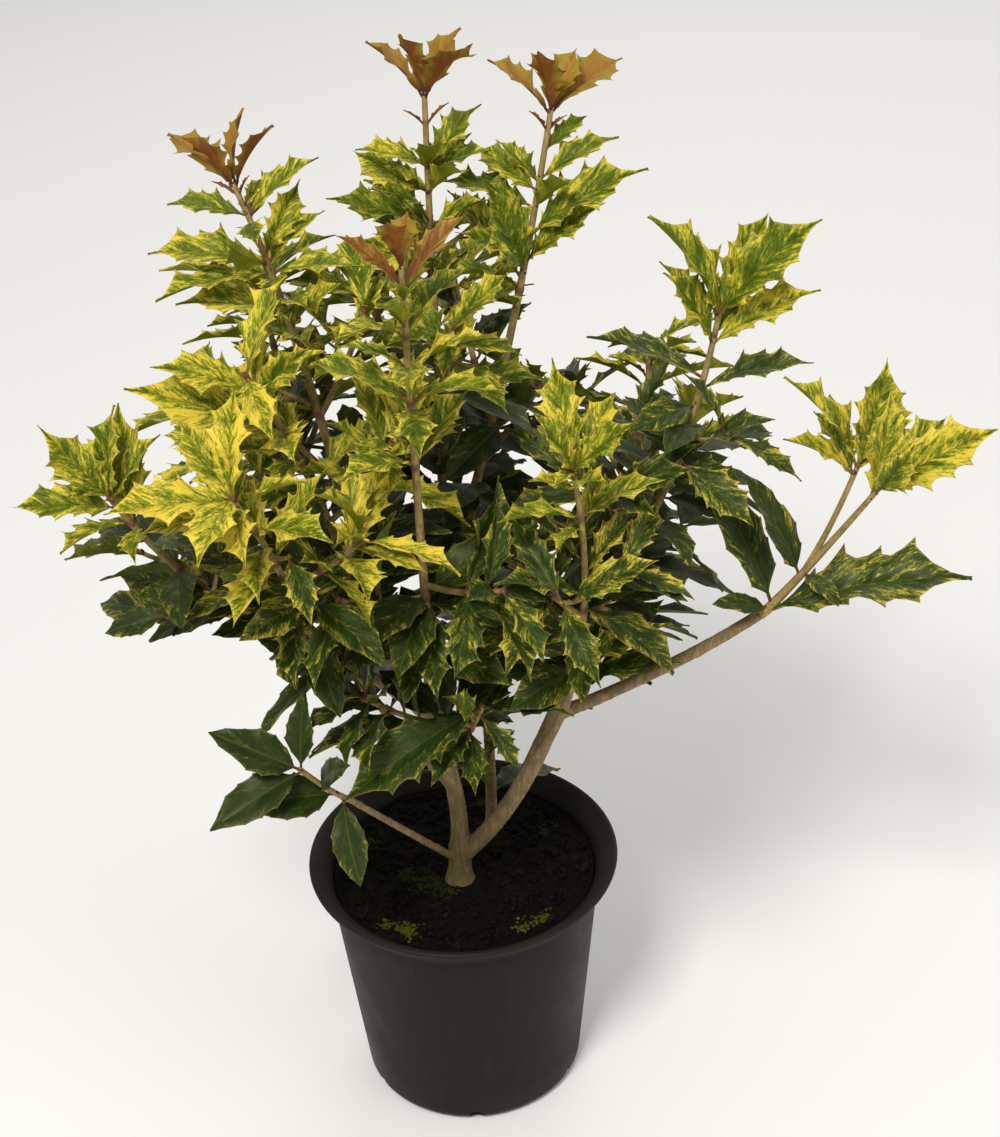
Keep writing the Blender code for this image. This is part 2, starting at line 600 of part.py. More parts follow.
def add_object(name, mesh, collection, material=None):
    """An object that holds the mesh, in the collection."""
    item = bpy.data.objects.new(name, mesh)
    collection.objects.link(item)
    if material is not None:
        mesh.materials.clear()
        mesh.materials.append(material)
    return item


def evaluated_mesh(item):
    """A copy of the object's shape as a mesh, with its modifiers applied."""
    bpy.context.view_layer.update()
    depsgraph = bpy.context.evaluated_depsgraph_get()
    return bpy.data.meshes.new_from_object(item.evaluated_get(depsgraph), depsgraph=depsgraph)


def shade(mesh):
    """Smooth faces with sharp edges kept."""
    mesh.shade_smooth()
    mesh.set_sharp_from_angle(angle=math.radians(40))


def profile_curve(sides, collection):
    """A small closed outline that tubes of few sides are swept with."""
    data = bpy.data.curves.new("twig_profile", "CURVE")
    spline = data.splines.new("POLY")
    spline.points.add(sides - 1)
    for k, point in enumerate(spline.points):
        angle = 2 * math.pi * k / sides
        point.co = (MM * math.cos(angle), MM * math.sin(angle), 0, 1)
    spline.use_cyclic_u = True
    item = bpy.data.objects.new("twig_profile", data)
    item.hide_render = True
    item.display_type = "WIRE"
    collection.objects.link(item)
    return item


def tube_mesh(name, points, radii, sides, extra=0.0):
    """A filled tube swept as a curve along the points, given back as a closed mesh."""
    guides = bpy.data.collections["guides"]
    data = bpy.data.curves.new(name, "CURVE")
    data.dimensions = "3D"
    data.use_fill_caps = True
    profile = None
    if sides >= 4:
        data.bevel_depth = MM
        data.bevel_resolution = sides // 2 - 2
    else:
        profile = profile_curve(sides, guides)
        data.bevel_mode = "OBJECT"
        data.bevel_object = profile
    spline = data.splines.new("POLY")
    spline.points.add(len(points) - 1)
    for spot, point, radius in zip(spline.points, points, radii):
        spot.co = (*(point * MM), 1)
        spot.radius = radius + extra
    item = bpy.data.objects.new(name, data)
    guides.objects.link(item)
    mesh = evaluated_mesh(item)
    remove_item(item)
    if profile is not None:
        remove_item(profile)
    bm = bmesh.new()
    bm.from_mesh(mesh)
    bmesh.ops.remove_doubles(bm, verts=bm.verts, dist=1e-6)
    bmesh.ops.recalc_face_normals(bm, faces=bm.faces)
    bm.to_mesh(mesh)
    bm.free()
    return mesh


def remove_item(item):
    """Removes an object with its mesh or curve."""
    data = item.data
    bpy.data.objects.remove(item)
    if isinstance(data, bpy.types.Mesh):
        bpy.data.meshes.remove(data)
    else:
        bpy.data.curves.remove(data)


def add_boolean(item, operation, cutter):
    """A Boolean with one object or with all objects of a collection."""
    change = item.modifiers.new(operation.lower(), "BOOLEAN")
    change.operation = operation
    change.solver = "EXACT"
    if isinstance(cutter, bpy.types.Collection):
        change.operand_type = "COLLECTION"
        change.collection = cutter
    else:
        change.object = cutter
    return change


def apply_modifiers(item):
    """Gives the object its evaluated shape for good."""
    mesh = evaluated_mesh(item)
    old = item.data
    item.modifiers.clear()
    item.data = mesh
    bpy.data.meshes.remove(old)


def pot_profile():
    """The pot's section: inner floor and wall, flared lip, outer wall, heel and underside."""
    inner_heel = HEEL_RADIUS - WALL
    points = [(0, FLOOR_TOP), (inner_heel - 1.5 * MM, FLOOR_TOP), (inner_heel, FLOOR_TOP + 1.5 * MM)]
    flare = 4
    for i in range(flare + 1):
        u = i / flare
        radius = NECK_RADIUS - WALL + (LIP_RADIUS - NECK_RADIUS) * u**LIP_CURVE
        points.append((radius, POT_HEIGHT - LIP_DEPTH * (1 - u)))
    points += [
        (LIP_RADIUS - 0.5 * MM, POT_HEIGHT - 0.4 * MM),
        (LIP_RADIUS, POT_HEIGHT - 1.2 * MM),
        (LIP_RADIUS, POT_HEIGHT - LIP_EDGE),
    ]
    for i in range(flare - 1, -1, -1):
        u = i / flare
        radius = NECK_RADIUS + (LIP_RADIUS - NECK_RADIUS) * u**LIP_CURVE
        points.append((radius, POT_HEIGHT - LIP_EDGE - LIP_DEPTH * (1 - u)))
    for i in range(4):
        angle = math.pi / 2 * i / 3
        radius = HEEL_RADIUS - HEEL_ROUND * (1 - math.cos(angle))
        points.append((radius, HEEL_ROUND * (1 - math.sin(angle))))
    points += [
        (CHANNEL_OUTER + CHANNEL_DEPTH, 0), (CHANNEL_OUTER, CHANNEL_DEPTH),
        (CHANNEL_INNER, CHANNEL_DEPTH), (CHANNEL_INNER - CHANNEL_DEPTH, 0), (0, 0),
    ]
    return points


def turned(name, profile, collection, material):
    """A solid of revolution about Z from a profile that runs down its outer side."""
    mesh = bpy.data.meshes.new(name)
    edges = [(i, i + 1) for i in range(len(profile) - 1)]
    mesh.from_pydata([(r, 0, z) for r, z in profile], edges, [])
    item = add_object(name, mesh, collection, material)
    screw = item.modifiers.new("turn", "SCREW")
    screw.steps = POT_STEPS
    screw.render_steps = POT_STEPS
    screw.use_merge_vertices = True
    screw.merge_threshold = 0.00001
    return item


def make_pot(collection):
    """The pot, with its drain holes cut through the heel."""
    material = new_material("black_plastic", (0.030, 0.027, 0.025), 0.55)
    pot = turned("pot", pot_profile(), collection, material)
    cutters = bpy.data.collections["guides"]
    for i in range(DRAIN_HOLES):
        angle = 2 * math.pi * (i + 0.5) / DRAIN_HOLES
        bm = bmesh.new()
        bmesh.ops.create_cone(
            bm, cap_ends=True, segments=8, radius1=DRAIN_RADIUS, radius2=DRAIN_RADIUS, depth=DRAIN_LENGTH
        )
        mesh = bpy.data.meshes.new("drain")
        bm.to_mesh(mesh)
        bm.free()
        cutter = add_object(f"drain_{i + 1}", mesh, cutters)
        place = Matrix.Translation((DRAIN_PLACE[0], 0, DRAIN_PLACE[1]))
        slope = Matrix.Rotation(math.radians(DRAIN_SLOPE), 4, "Y")
        cutter.matrix_world = Matrix.Rotation(angle, 4, "Z") @ place @ slope
        cutter.hide_render = True
        cutter.display_type = "WIRE"
    add_boolean(pot, "DIFFERENCE", cutters)
    apply_modifiers(pot)
    for cutter in list(cutters.objects):
        remove_item(cutter)
    shade(pot.data)


def soil_height(x, y):
    """The soil's top: it swells here and there, but is level round the trunk's foot."""
    reach = math.hypot(x, y)
    height = SOIL_TOP - (SOIL_TOP - SOIL_EDGE) * (reach / SOIL_RINGS[0]) ** 2
    swell = SOIL_SWELL * noise.noise(Vector((x, y, 0)) * SOIL_GRAIN)
    from_foot = math.hypot(x - TRUNK_FOOT[0] * MM, y - TRUNK_FOOT[1] * MM)
    if from_foot < SOIL_FLAT:
        return SOIL_TOP
    return height + swell


def make_soil(collection):
    """The soil: it fills the pot a gap clear of its walls."""
    material = new_material("peat", (0.035, 0.024, 0.018), 0.95)
    bottom = HEEL_RADIUS - WALL - 1.5 * MM - GAP
    rim = NECK_RADIUS - WALL - GAP - 0.2 * MM
    profile = [(0, SOIL_TOP)] + [(r, SOIL_TOP) for r in reversed(SOIL_RINGS)]
    profile += [(rim, SOIL_EDGE), (bottom, FLOOR_TOP + GAP), (0, FLOOR_TOP + GAP)]
    soil = turned("soil", profile, collection, material)
    apply_modifiers(soil)
    for v in soil.data.vertices:
        if v.co.z > SOIL_EDGE - 0.1 * MM:
            v.co.z = soil_height(v.co.x, v.co.y)
    shade(soil.data)


def tube_sides(name):
    """How many sides the trunk or a limb has."""
    return {"trunk": TRUNK_SIDES, "stem_left": STEM_SIDES, "stem_right": STEM_SIDES}.get(name, BOUGH_SIDES)


def neighbours(name):
    """The limb that this one grows from, and the earlier ones that grow from the same limb."""
    if name not in LIMBS or LIMBS[name][1] == 1:
        return []
    parent = LIMBS[name][0]
    earlier = list(LIMBS)[:list(LIMBS).index(name)]
    return [parent] + [other for other in earlier if LIMBS[other][0] == parent]


def make_limb(name, limbs, collection, material):
    """The trunk or one limb, cut a gap clear of the limbs round its root."""
    points, radii = limbs[name]
    limb = add_object(name, tube_mesh(name, points, radii, tube_sides(name)), collection, material)
    guides = bpy.data.collections["guides"]
    for other in neighbours(name):
        other_points, other_radii = limbs[other]
        extra = GAP / MM / math.cos(math.pi / tube_sides(other))
        mesh = tube_mesh("clear_of_neighbour", other_points, other_radii, tube_sides(other), extra)
        add_object("clear_of_neighbour", mesh, guides)
    if guides.objects:
        add_boolean(limb, "DIFFERENCE", guides)
        apply_modifiers(limb)
        for cutter in list(guides.objects):
            remove_item(cutter)
    shade(limb.data)


def make_mass(name, stems, leaves, collection, material):
    """One mass of foliage: its stem, with twigs and leaves fused on by one union."""
    spare = bpy.data.collections.new(f"{name}_leaves_and_twigs")
    bpy.context.scene.collection.children.link(spare)
    points, radii, sides, _ = stems[0]
    mass = add_object(name, tube_mesh(name, points, radii, sides), collection, material)
    for points, radii, sides, _ in stems[1:]:
        add_object("twig", tube_mesh("twig", points, radii, sides), spare)
    for _, leaf in leaves:
        verts, faces = leaf_shape(leaf)
        mesh = bpy.data.meshes.new("leaf")
        mesh.from_pydata([v * MM for v in verts], [], faces)
        add_object("leaf", mesh, spare)
    add_boolean(mass, "UNION", spare)
    apply_modifiers(mass)
    for item in list(spare.objects):
        remove_item(item)
    bpy.data.collections.remove(spare)
    shade(mass.data)


def main():
    """Builds the pot, the soil, the limbs and the masses of foliage."""
    for item in list(bpy.data.objects):
        bpy.data.objects.remove(item)
    collection = bpy.data.collections.new(NAME)
    guides = bpy.data.collections.new("guides")
    bpy.context.scene.collection.children.link(collection)
    bpy.context.scene.collection.children.link(guides)
    make_pot(collection)
    make_soil(collection)
    bark = new_material("bark", (0.42, 0.33, 0.22), 0.8)
    limbs = grow_limbs()
    for name in limbs:
        make_limb(name, limbs, collection, bark)
    masses = grow_stems(limbs)
    leaves = grow_leaves(limbs, masses)
    foliage = new_material("variegated_leaf", (0.20, 0.27, 0.06), 0.4)
    for name, stems in masses.items():
        make_mass(name, stems, leaves[name], collection, foliage)


main()
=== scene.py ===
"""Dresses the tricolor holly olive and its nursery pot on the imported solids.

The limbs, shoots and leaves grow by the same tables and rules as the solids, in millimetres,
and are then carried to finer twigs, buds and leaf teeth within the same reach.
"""

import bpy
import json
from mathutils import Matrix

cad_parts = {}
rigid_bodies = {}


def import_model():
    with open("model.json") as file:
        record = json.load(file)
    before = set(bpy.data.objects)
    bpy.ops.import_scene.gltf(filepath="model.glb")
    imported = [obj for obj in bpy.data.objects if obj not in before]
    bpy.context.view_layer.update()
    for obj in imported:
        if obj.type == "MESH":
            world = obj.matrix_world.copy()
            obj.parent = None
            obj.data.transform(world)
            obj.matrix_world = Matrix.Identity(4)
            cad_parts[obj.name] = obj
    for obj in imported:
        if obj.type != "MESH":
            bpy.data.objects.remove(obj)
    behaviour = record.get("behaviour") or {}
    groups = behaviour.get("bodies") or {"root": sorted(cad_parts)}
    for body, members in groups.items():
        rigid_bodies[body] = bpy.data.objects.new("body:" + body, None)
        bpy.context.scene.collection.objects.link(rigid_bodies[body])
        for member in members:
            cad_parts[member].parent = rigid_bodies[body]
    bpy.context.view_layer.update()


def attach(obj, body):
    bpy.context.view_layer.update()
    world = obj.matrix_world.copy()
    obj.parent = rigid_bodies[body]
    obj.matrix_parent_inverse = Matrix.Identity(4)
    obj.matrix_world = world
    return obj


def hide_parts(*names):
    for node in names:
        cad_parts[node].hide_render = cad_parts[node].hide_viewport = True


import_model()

import functools
import json
import math
import random
from typing import NamedTuple

import bmesh
import bpy
import numpy as np
from bpy.props import FloatProperty, FloatVectorProperty, PointerProperty
from mathutils import Matrix, Vector, noise
from mathutils.bvhtree import BVHTree

bl_info = {
    "name": "Potted holly olive",
    "version": (1, 0, 0),
    "blender": (4, 5, 0),
    "location": "View3D > Sidebar > Holly olive",
    "description": "Dresses a tricolor holly olive in its nursery pot on its packed solids",
    "category": "Add Mesh",
}

MM = 0.001
GAP = 0.3 * MM
LIP_RADIUS = 75 * MM
POT_HEIGHT = 128 * MM

LIP_EDGE = 3 * MM
LIP_DEPTH = 12 * MM
LIP_CURVE = 2.2
NECK_RADIUS = 65.4 * MM
HEEL_RADIUS = 54.1 * MM
HEEL_ROUND = 6 * MM
WALL = 1.6 * MM
FLOOR_TOP = 4.2 * MM
CHANNEL_DEPTH = 2 * MM
CHANNEL_OUTER = 45 * MM
CHANNEL_INNER = 22 * MM
DRAIN_HOLES = 6
DRAIN_RADIUS = 3.6 * MM
DRAIN_LENGTH = 14 * MM
DRAIN_PLACE = (51.5 * MM, 3.5 * MM)
DRAIN_SLOPE = 125

# Soil: peat that fills the pot to a little below the lip.
SOIL_TOP = 118.5 * MM
SOIL_EDGE = 117.2 * MM
SOIL_RINGS = (62 * MM, 50 * MM, 37 * MM, 24 * MM, 11 * MM)

# Trunk: from its flat cut on the soil to its fork.
TRUNK_FOOT = (-2, -9, 118.8)
TRUNK_FORK = (-1, -9, 138)
TRUNK_RADII = ((0.0, 7.6), (0.12, 6.8), (0.3, 6.0), (0.6, 5.7), (1.0, 5.6))

# Limbs: parent, place along it from 0 to 1, middle point, tip, radius at root and at tip.
# A place of 1 goes on from the parent's end.
LIMBS = {
    "stem_left": ("trunk", 1, (-5, -8, 190), (-23, -10, 254), 4.6, 3.4),
    "stem_right": ("trunk", 0.72, (28, -16, 176), (52, -11, 231), 4.5, 3.8),
    "bough_left_tall": ("stem_left", 1, (-30, -5, 270), (-36, 3, 284), 3.1, 2.6),
    "bough_left_middle": ("stem_left", 0.93, (-33, -18, 262), (-40, -22, 282), 2.6, 2.1),
    "bough_back_tall": ("stem_left", 0.85, (-5, 20, 284), (1, 38, 328), 2.8, 2.2),
    "bough_front": ("stem_left", 0.75, (-9, -32, 256), (-8, -46, 300), 2.8, 2.2),
    "bough_far_left": ("stem_left", 0.66, (-38, -23, 252), (-77, -36, 293), 3.0, 2.3),
    "bough_left_front": ("bough_far_left", 0.50, (-57, -42, 286), (-61, -54, 304), 2.2, 1.9),
    "bough_back_right_tall": ("stem_left", 0.56, (4, 10, 258), (13, 26, 308), 3.0, 2.4),
    "bough_back_left": ("stem_left", 0.47, (-34, 30, 240), (-54, 52, 284), 2.8, 2.2),
    "bough_low_front": ("stem_left", 0.38, (-3, -25, 205), (3, -38, 222), 2.2, 1.9),
    "bough_low_back_left": ("stem_left", 0.29, (-34, 20, 200), (-62, 38, 230), 2.4, 1.9),
    "bough_low_left": ("trunk", 0.55, (-28, -34, 172), (-46, -52, 202), 1.9, 1.5),
    "bough_right_upright": ("stem_right", 1, (66, -5, 260), (76, -1, 284), 3.5, 2.9),
    "bough_far_right": ("stem_right", 0.86, (98, -16, 243), (139, -18, 270), 3.2, 2.6),
    "bough_right_middle": ("stem_right", 0.62, (47, -30, 224), (53, -40, 250), 2.4, 2.0),
    "bough_back_right": ("stem_right", 0.50, (62, 26, 232), (78, 52, 270), 2.8, 2.2),
    "bough_low_back_right": ("stem_right", 0.36, (48, 22, 198), (62, 44, 222), 2.4, 1.9),
    "bough_back": ("stem_right", 0.24, (14, 36, 204), (6, 62, 262), 2.8, 2.2),
}

# Foliage kinds: length, width over length, angle to the twig, bend along the midrib, fold of
# each half upward (degrees), and whether the solid's margin shows its spines.
KINDS = {
    "old": (62, 0.42, 64, 26, 14, False),
    "middle": (58, 0.45, 60, 30, 20, False),
    "young": (50, 0.52, 50, 36, 25, True),
    "copper": (44, 0.36, 46, 44, 28, False),
    "bronze": (34, 0.58, 34, 8, 34, True),
}

# Masses: bough, middle point and tip of the stem, leaf zones, twigs, and aimed leaves.
# A zone is a kind, its pairs of leaves, where they start and end along the stem, the scale
# of the leaves and the first pair's direction. A twig is its place, its tip from there, and
# its zones. An aimed leaf is its kind, its place on the stem and its tip from there, and
# the number of its twig where it grows on one.
MASSES = {
    "mass_front": (
        "bough_front", (-8, -56, 374), (-8, -60, 466),
        (("old", 1, 0.04, 0.04, 1.0, 20), ("young", 3, 0.46, 0.82, 0.95, 50)),
        ((0.04, (-36, -18, 12), (("middle", 2, 0.5, 1.0, 0.9, 30),)),
         (0.08, (34, -20, 8), (("middle", 2, 0.5, 1.0, 0.9, 60),))),
        (("copper", 0.945, (-25, 1, 23)), ("bronze", 1.0, (-4, -10, 24)),
         ("bronze", 1.0, (4, 10, 20)), ("young", 0.73, (2, -42, 8)),
         ("middle", 0.02, (-38, -30, -14)), ("middle", 0.02, (44, -24, -4)),
         ("copper", 0.945, (23, 6, 30)), ("old", 0.05, (50, 6, 28)),
         ("middle", 0.02, (2, -44, -22))),
    ),
    "mass_back_tall": (
        "bough_back_tall", (1, 51, 410), (2, 58, 490),
        (("old", 2, 0.04, 0.18, 1.0, 40), ("young", 2, 0.36, 0.52, 0.95, 10)),
        ((0.10, (7, -46, 66), (("young", 3, 0.45, 1.0, 0.85, 30),)),
         (0.16, (-32, 14, 46), (("middle", 1, 0.5, 0.5, 1.0, 0), ("young", 2, 0.75, 1.0, 0.9, 60)))),
        (("bronze", 0.99, (-24, 9, 23)), ("bronze", 1.0, (-9, -10, 32)),
         ("bronze", 0.99, (13, -16, 38)), ("bronze", 1.0, (17, 10, 27)),
         ("young", 0.74, (-18, -8, 16)), ("young", 0.81, (-31, -4, 10)),
         ("young", 0.8, (23, 4, 28)), ("young", 0.79, (25, -12, 13)),
         ("young", 0.64, (-29, 24, 14)), ("young", 0.73, (20, 20, 20)),
         ("young", 0.63, (-44, -8, 21)), ("young", 0.62, (26, -16, 22))),
    ),
    "mass_back_right_tall": (
        "bough_back_right_tall", (37, 46, 396), (55, 55, 482),
        (("old", 2, 0.05, 0.20, 1.0, 70), ("young", 1, 0.56, 0.56, 0.9, 40)),
        ((0.12, (28, 26, 22), (("middle", 2, 0.4, 0.75, 0.9, 45), ("young", 1, 1.0, 1.0, 0.8, 0))),
         (0.22, (-14, 34, 56), (("middle", 2, 0.4, 0.75, 0.9, 0), ("young", 1, 1.0, 1.0, 0.9, 45)))),
        (("bronze", 0.99, (-26, 6, 23)), ("young", 0.69, (-20, -7, 30)),
         ("young", 0.62, (-30, -8, 20)), ("bronze", 1.0, (-5, -10, 31)),
         ("young", 0.9, (19, 0, 17)), ("bronze", 1.0, (9, 8, 27)), ("young", 0.83, (35, 4, 16)),
         ("young", 0.69, (52, -6, 31)), ("young", 0.82, (-18, 10, 17)),
         ("bronze", 0.99, (29, -1, 28)), ("old", 0.04, (-14, -36, -2)),
         ("old", 0.11, (-22, -26, 10)), ("young", 0.62, (34, -4, 30)),
         ("young", 0.76, (-42, -1, 14))),
    ),
    "mass_left_tall": (
        "bough_left_tall", (-58, 22, 392), (-79, 30, 466),
        (("old", 2, 0.06, 0.20, 1.0, 0), ("young", 2, 0.44, 0.60, 0.9, 30)),
        ((0.42, (24, -6, 54), (("young", 2, 0.55, 1.0, 0.85, 30),)),
         (0.26, (-34, 10, 40), (("middle", 1, 0.5, 0.5, 0.9, 0), ("young", 2, 0.75, 1.0, 0.85, 45)))),
        (("bronze", 1.0, (-19, -6, 25)), ("bronze", 1.0, (6, 12, 30)),
         ("bronze", 0.99, (15, -1, 31)), ("young", 0.92, (-34, 4, 5)),
         ("young", 0.92, (32, 4, 23)), ("young", 0.91, (12, 22, 9)),
         ("bronze", 0.99, (-25, 10, 27)), ("young", 0.9, (5, -30, 2)), ("young", 0.91, (5, 23, 9)),
         ("young", 0.8, (-50, -4, 9)), ("young", 0.8, (26, 6, 21)),
         ("young", 0.78, (-48, -18, -3)), ("young", 0.78, (40, -8, 4)),
         ("young", 0.76, (2, -32, 6)), ("young", 0.68, (-46, -8, 10)),
         ("young", 0.64, (26, -10, 26))),
    ),
    "mass_left_middle": (
        "bough_left_middle", (-50, -31, 346), (-74, -46, 416),
        (("old", 2, 0.06, 0.22, 1.0, 30), ("young", 3, 0.52, 1.0, 0.95, 40)),
        ((0.38, (30, -12, 44), (("young", 2, 0.55, 1.0, 0.9, 0),)),
         (0.45, (-42, -2, 26), (("young", 2, 0.55, 1.0, 0.9, 30),))),
        (("young", 0.72, (-62, -16, 36)), ("young", 0.68, (-44, -20, 12)), ("young", 0.92, (-40, -14, 21))),
    ),
    "mass_left_front": (
        "bough_left_front", (-67, -76, 346), (-79, -92, 386),
        (("middle", 1, 0.12, 0.12, 1.0, 20), ("young", 3, 0.50, 1.0, 1.0, 60)),
        ((0.30, (34, -12, 28), (("young", 3, 0.4, 1.0, 0.95, 0),)),),
        (("young", 0.92, (-21, 4, 37)), ("young", 0.96, (-48, -22, 10))),
    ),
    "mass_far_left": (
        "bough_far_left", (-108, -43, 320), (-135, -48, 363),
        (("old", 2, 0.12, 0.50, 0.85, 20), ("young", 1, 0.84, 0.84, 0.8, 60)),
        ((0.20, (-26, -12, 2), (("old", 1, 1.0, 1.0, 0.8, 0),)),),
        (("young", 0.98, (-24, -7, 41)), ("young", 0.93, (-42, -6, 6)), ("young", 1.0, (6, 7, 41)),
         ("young", 0.98, (22, 4, 28)), ("old", 0.32, (-26, -26, 19))),
    ),
    "mass_low_left": (
        "bough_low_left", (-56, -60, 216), (-67, -68, 234),
        (),
        (),
        (("old", 1.0, (-38, -4, 26)), ("old", 0.94, (-40, -24, -12)), ("old", 0.30, (-42, -28, 13)),
         ("old", 0.97, (4, 12, 34)), ("old", 0.20, (6, -20, -36)), ("old", 0.6, (16, -22, 26))),
    ),
    "mass_low_front": (
        "bough_low_front", (9, -45, 236), (14, -50, 250),
        (("middle", 1, 0.45, 0.45, 0.8, 50),),
        ((0.4, (-46, -8, 26), (("middle", 3, 0.45, 1.0, 0.9, 20),)),),
        (("middle", 0.95, (-62, -38, -20)), ("young", 0.7, (-14, -17, 25)),
         ("middle", 0.95, (40, -26, 12)), ("middle", 0.8, (17, -10, -25)),
         ("middle", 0.95, (-28, -11, -9), 1)),
    ),
    "mass_right_tall": (
        "bough_right_upright", (104, 6, 338), (123, 12, 406),
        (("old", 3, 0.06, 0.40, 0.9, 10),),
        ((0.18, (-22, -20, 34), (("middle", 2, 0.5, 1.0, 0.9, 30),)),),
        (("young", 0.98, (-31, -6, 50)), ("young", 0.98, (42, -6, 45)),
         ("young", 0.9, (-22, 18, 29)), ("young", 1.0, (23, 23, 35)),
         ("middle", 0.76, (-49, 13, 19)), ("young", 0.9, (22, 28, 24)),
         ("young", 0.88, (43, -10, 29)), ("middle", 0.72, (48, -8, 14)),
         ("middle", 0.46, (42, -12, 24)), ("old", 0.66, (-30, -24, 2)),
         ("young", 0.88, (-21, -8, 38)), ("old", 0.6, (-14, -34, 4)),
         ("old", 0.45, (-20, 26, 20))),
    ),
    "mass_far_right": (
        "bough_far_right", (160, -18, 294), (187, -28, 338),
        (),
        ((0.33, (24, 10, 48), ()),),
        (("young", 1.0, (48, -8, 32)), ("old", 0.33, (12, -26, -2)), ("young", 1.0, (12, -15, 31)),
         ("young", 1.0, (12, 8, 49), 1), ("young", 1.0, (-34, -2, 47), 1),
         ("young", 0.9, (-33, -8, 24), 1), ("young", 0.97, (34, 24, 22)),
         ("young", 0.9, (-14, 30, 16), 1), ("middle", 0.03, (89, -14, 21)),
         ("old", 0.08, (-31, 14, 60)), ("old", 0.3, (-26, 8, 50)), ("young", 0.92, (13, 5, 47)),
         ("old", 0.05, (-27, -16, 14))),
    ),
    "mass_right_middle": (
        "bough_right_middle", (60, -50, 310), (56, -55, 370),
        (("old", 2, 0.10, 0.40, 0.95, 40), ("young", 1, 0.80, 0.80, 0.8, 20)),
        ((0.36, (-24, 0, 26), (("middle", 2, 0.5, 1.0, 0.9, 30),)),),
        (("young", 0.98, (-17, -6, 34)), ("young", 1.0, (27, -6, 26)),
         ("middle", 0.46, (-39, -20, 20)), ("young", 1.0, (-5, 23, 42)),
         ("middle", 0.6, (-26, -2, 31)), ("young", 0.98, (13, 9, 36)),
         ("young", 1.0, (-9, -15, 2)), ("young", 0.92, (-20, -11, 11)),
         ("young", 0.92, (12, -28, 18)), ("middle", 0.04, (41, -20, 42)),
         ("old", 0.1, (-30, -34, 4)), ("middle", 0.03, (-46, -8, 14)),
         ("middle", 0.02, (48, -22, 24)), ("middle", 0.55, (26, 6, 30))),
    ),
    "mass_low_back_left": (
        "bough_low_back_left", (-84, 50, 256), (-106, 58, 288),
        (("old", 2, 0.15, 0.50, 0.9, 20), ("middle", 2, 0.8, 1.0, 0.9, 30)),
        ((0.35, (-22, -30, 26), (("old", 2, 0.5, 1.0, 0.9, 0),)),),
        (),
    ),
    "mass_back_left": (
        "bough_back_left", (-68, 66, 336), (-78, 80, 396),
        (("old", 1, 0.10, 0.10, 1.0, 0), ("middle", 2, 0.32, 0.52, 0.95, 30),
         ("young", 3, 0.76, 1.0, 0.9, 20)),
        ((0.22, (-46, 4, 34), (("middle", 1, 0.5, 0.5, 0.9, 0), ("young", 1, 1.0, 1.0, 0.9, 45))),
         (0.30, (18, 32, 42), (("middle", 1, 0.5, 0.5, 0.9, 45), ("young", 1, 1.0, 1.0, 0.9, 0)))),
        (),
    ),
    "mass_back": (
        "bough_back", (6, 84, 322), (8, 98, 388),
        (("old", 1, 0.10, 0.10, 1.0, 45), ("middle", 2, 0.32, 0.52, 0.95, 0),
         ("young", 3, 0.76, 1.0, 0.9, 40)),
        ((0.12, (-34, 28, 30), (("middle", 2, 0.6, 1.0, 0.9, 45),)),
         (0.16, (36, 24, 34), (("middle", 2, 0.6, 1.0, 0.9, 45),))),
        (),
    ),
    "mass_back_right": (
        "bough_back_right", (92, 74, 306), (100, 94, 350),
        (("old", 1, 0.10, 0.10, 1.0, 20), ("middle", 2, 0.32, 0.54, 0.9, 60),
         ("young", 3, 0.78, 1.0, 0.85, 0)),
        ((0.18, (34, 26, 26), (("old", 1, 0.5, 0.5, 0.9, 0), ("young", 2, 0.85, 1.0, 0.85, 45))),
         (0.28, (-22, 30, 40), (("middle", 2, 0.5, 1.0, 0.9, 45),))),
        (),
    ),
    "mass_low_back_right": (
        "bough_low_back_right", (72, 62, 238), (84, 78, 258),
        (("old", 2, 0.15, 0.5, 0.85, 30), ("middle", 2, 0.8, 1.0, 0.85, 0)),
        ((0.3, (8, 34, 22), (("old", 2, 0.5, 1.0, 0.9, 45),)),),
        (),
    ),
}

# Leaf rows: place along the midrib, place along the margin, half width over full width, lift.
# An aimed leaf turns its upper side between its stem's way and its kind's light.
SPINY_ROWS = ((0.36, 0.43, 0.50, 0.05), (0.46, 0.48, 0.33, -0.03), (0.66, 0.74, 0.42, 0.05))
PLAIN_ROWS = ((0.34, 0.34, 0.46, 0.02), (0.68, 0.68, 0.44, 0.0))
PETIOLE_END = 0.12
ROOT_DEPTH = 0.35
PETIOLE_HALF = 0.7
LEAF_THICKNESS = 0.014
LEAF_CLEARANCE = 0.6
LEAF_TRIES = 14
LIGHT = (0, 0, 0.9)
AIMED_LIGHT = {
    "old": (0, -0.9, 0.8), "middle": (0, -0.3, 1.0), "young": (0, -0.7, 0.5), "copper": (0, -0.7, 0.5),
    "bronze": (0, 0, 0),
}
LOWER_SPREAD = 14
STEEPEST_ROOT = -0.12
SEED = 9

# Openings: where the crown stays open for a viewer at the eye, as boxes on the plane Y = 0:
# left, right, bottom and top. The first shows the trunk and its fork.
EYE = (24, -845, 823)
OPENINGS = (
    (-16, 33, 100, 152),
    (54, 88, 120, 184),
    (88, 200, 120, 212),
    (116, 150, 120, 254),
    (47, 88, 404, 440),
    (30, 63, 397, 405),
    (86, 98, 403, 425),
    (-176, -84, 222, 256),
)

# Tubes: pieces along them.
MASS_STEM_SIDES = 4
TWIG_SIDES = 3
LIMB_PIECES = 5
TWIG_PIECES = 3
TWIG_SAG = 0.06
TWIG_RADIUS = 1.5
SHOOT_TIP_RADIUS = 1.2

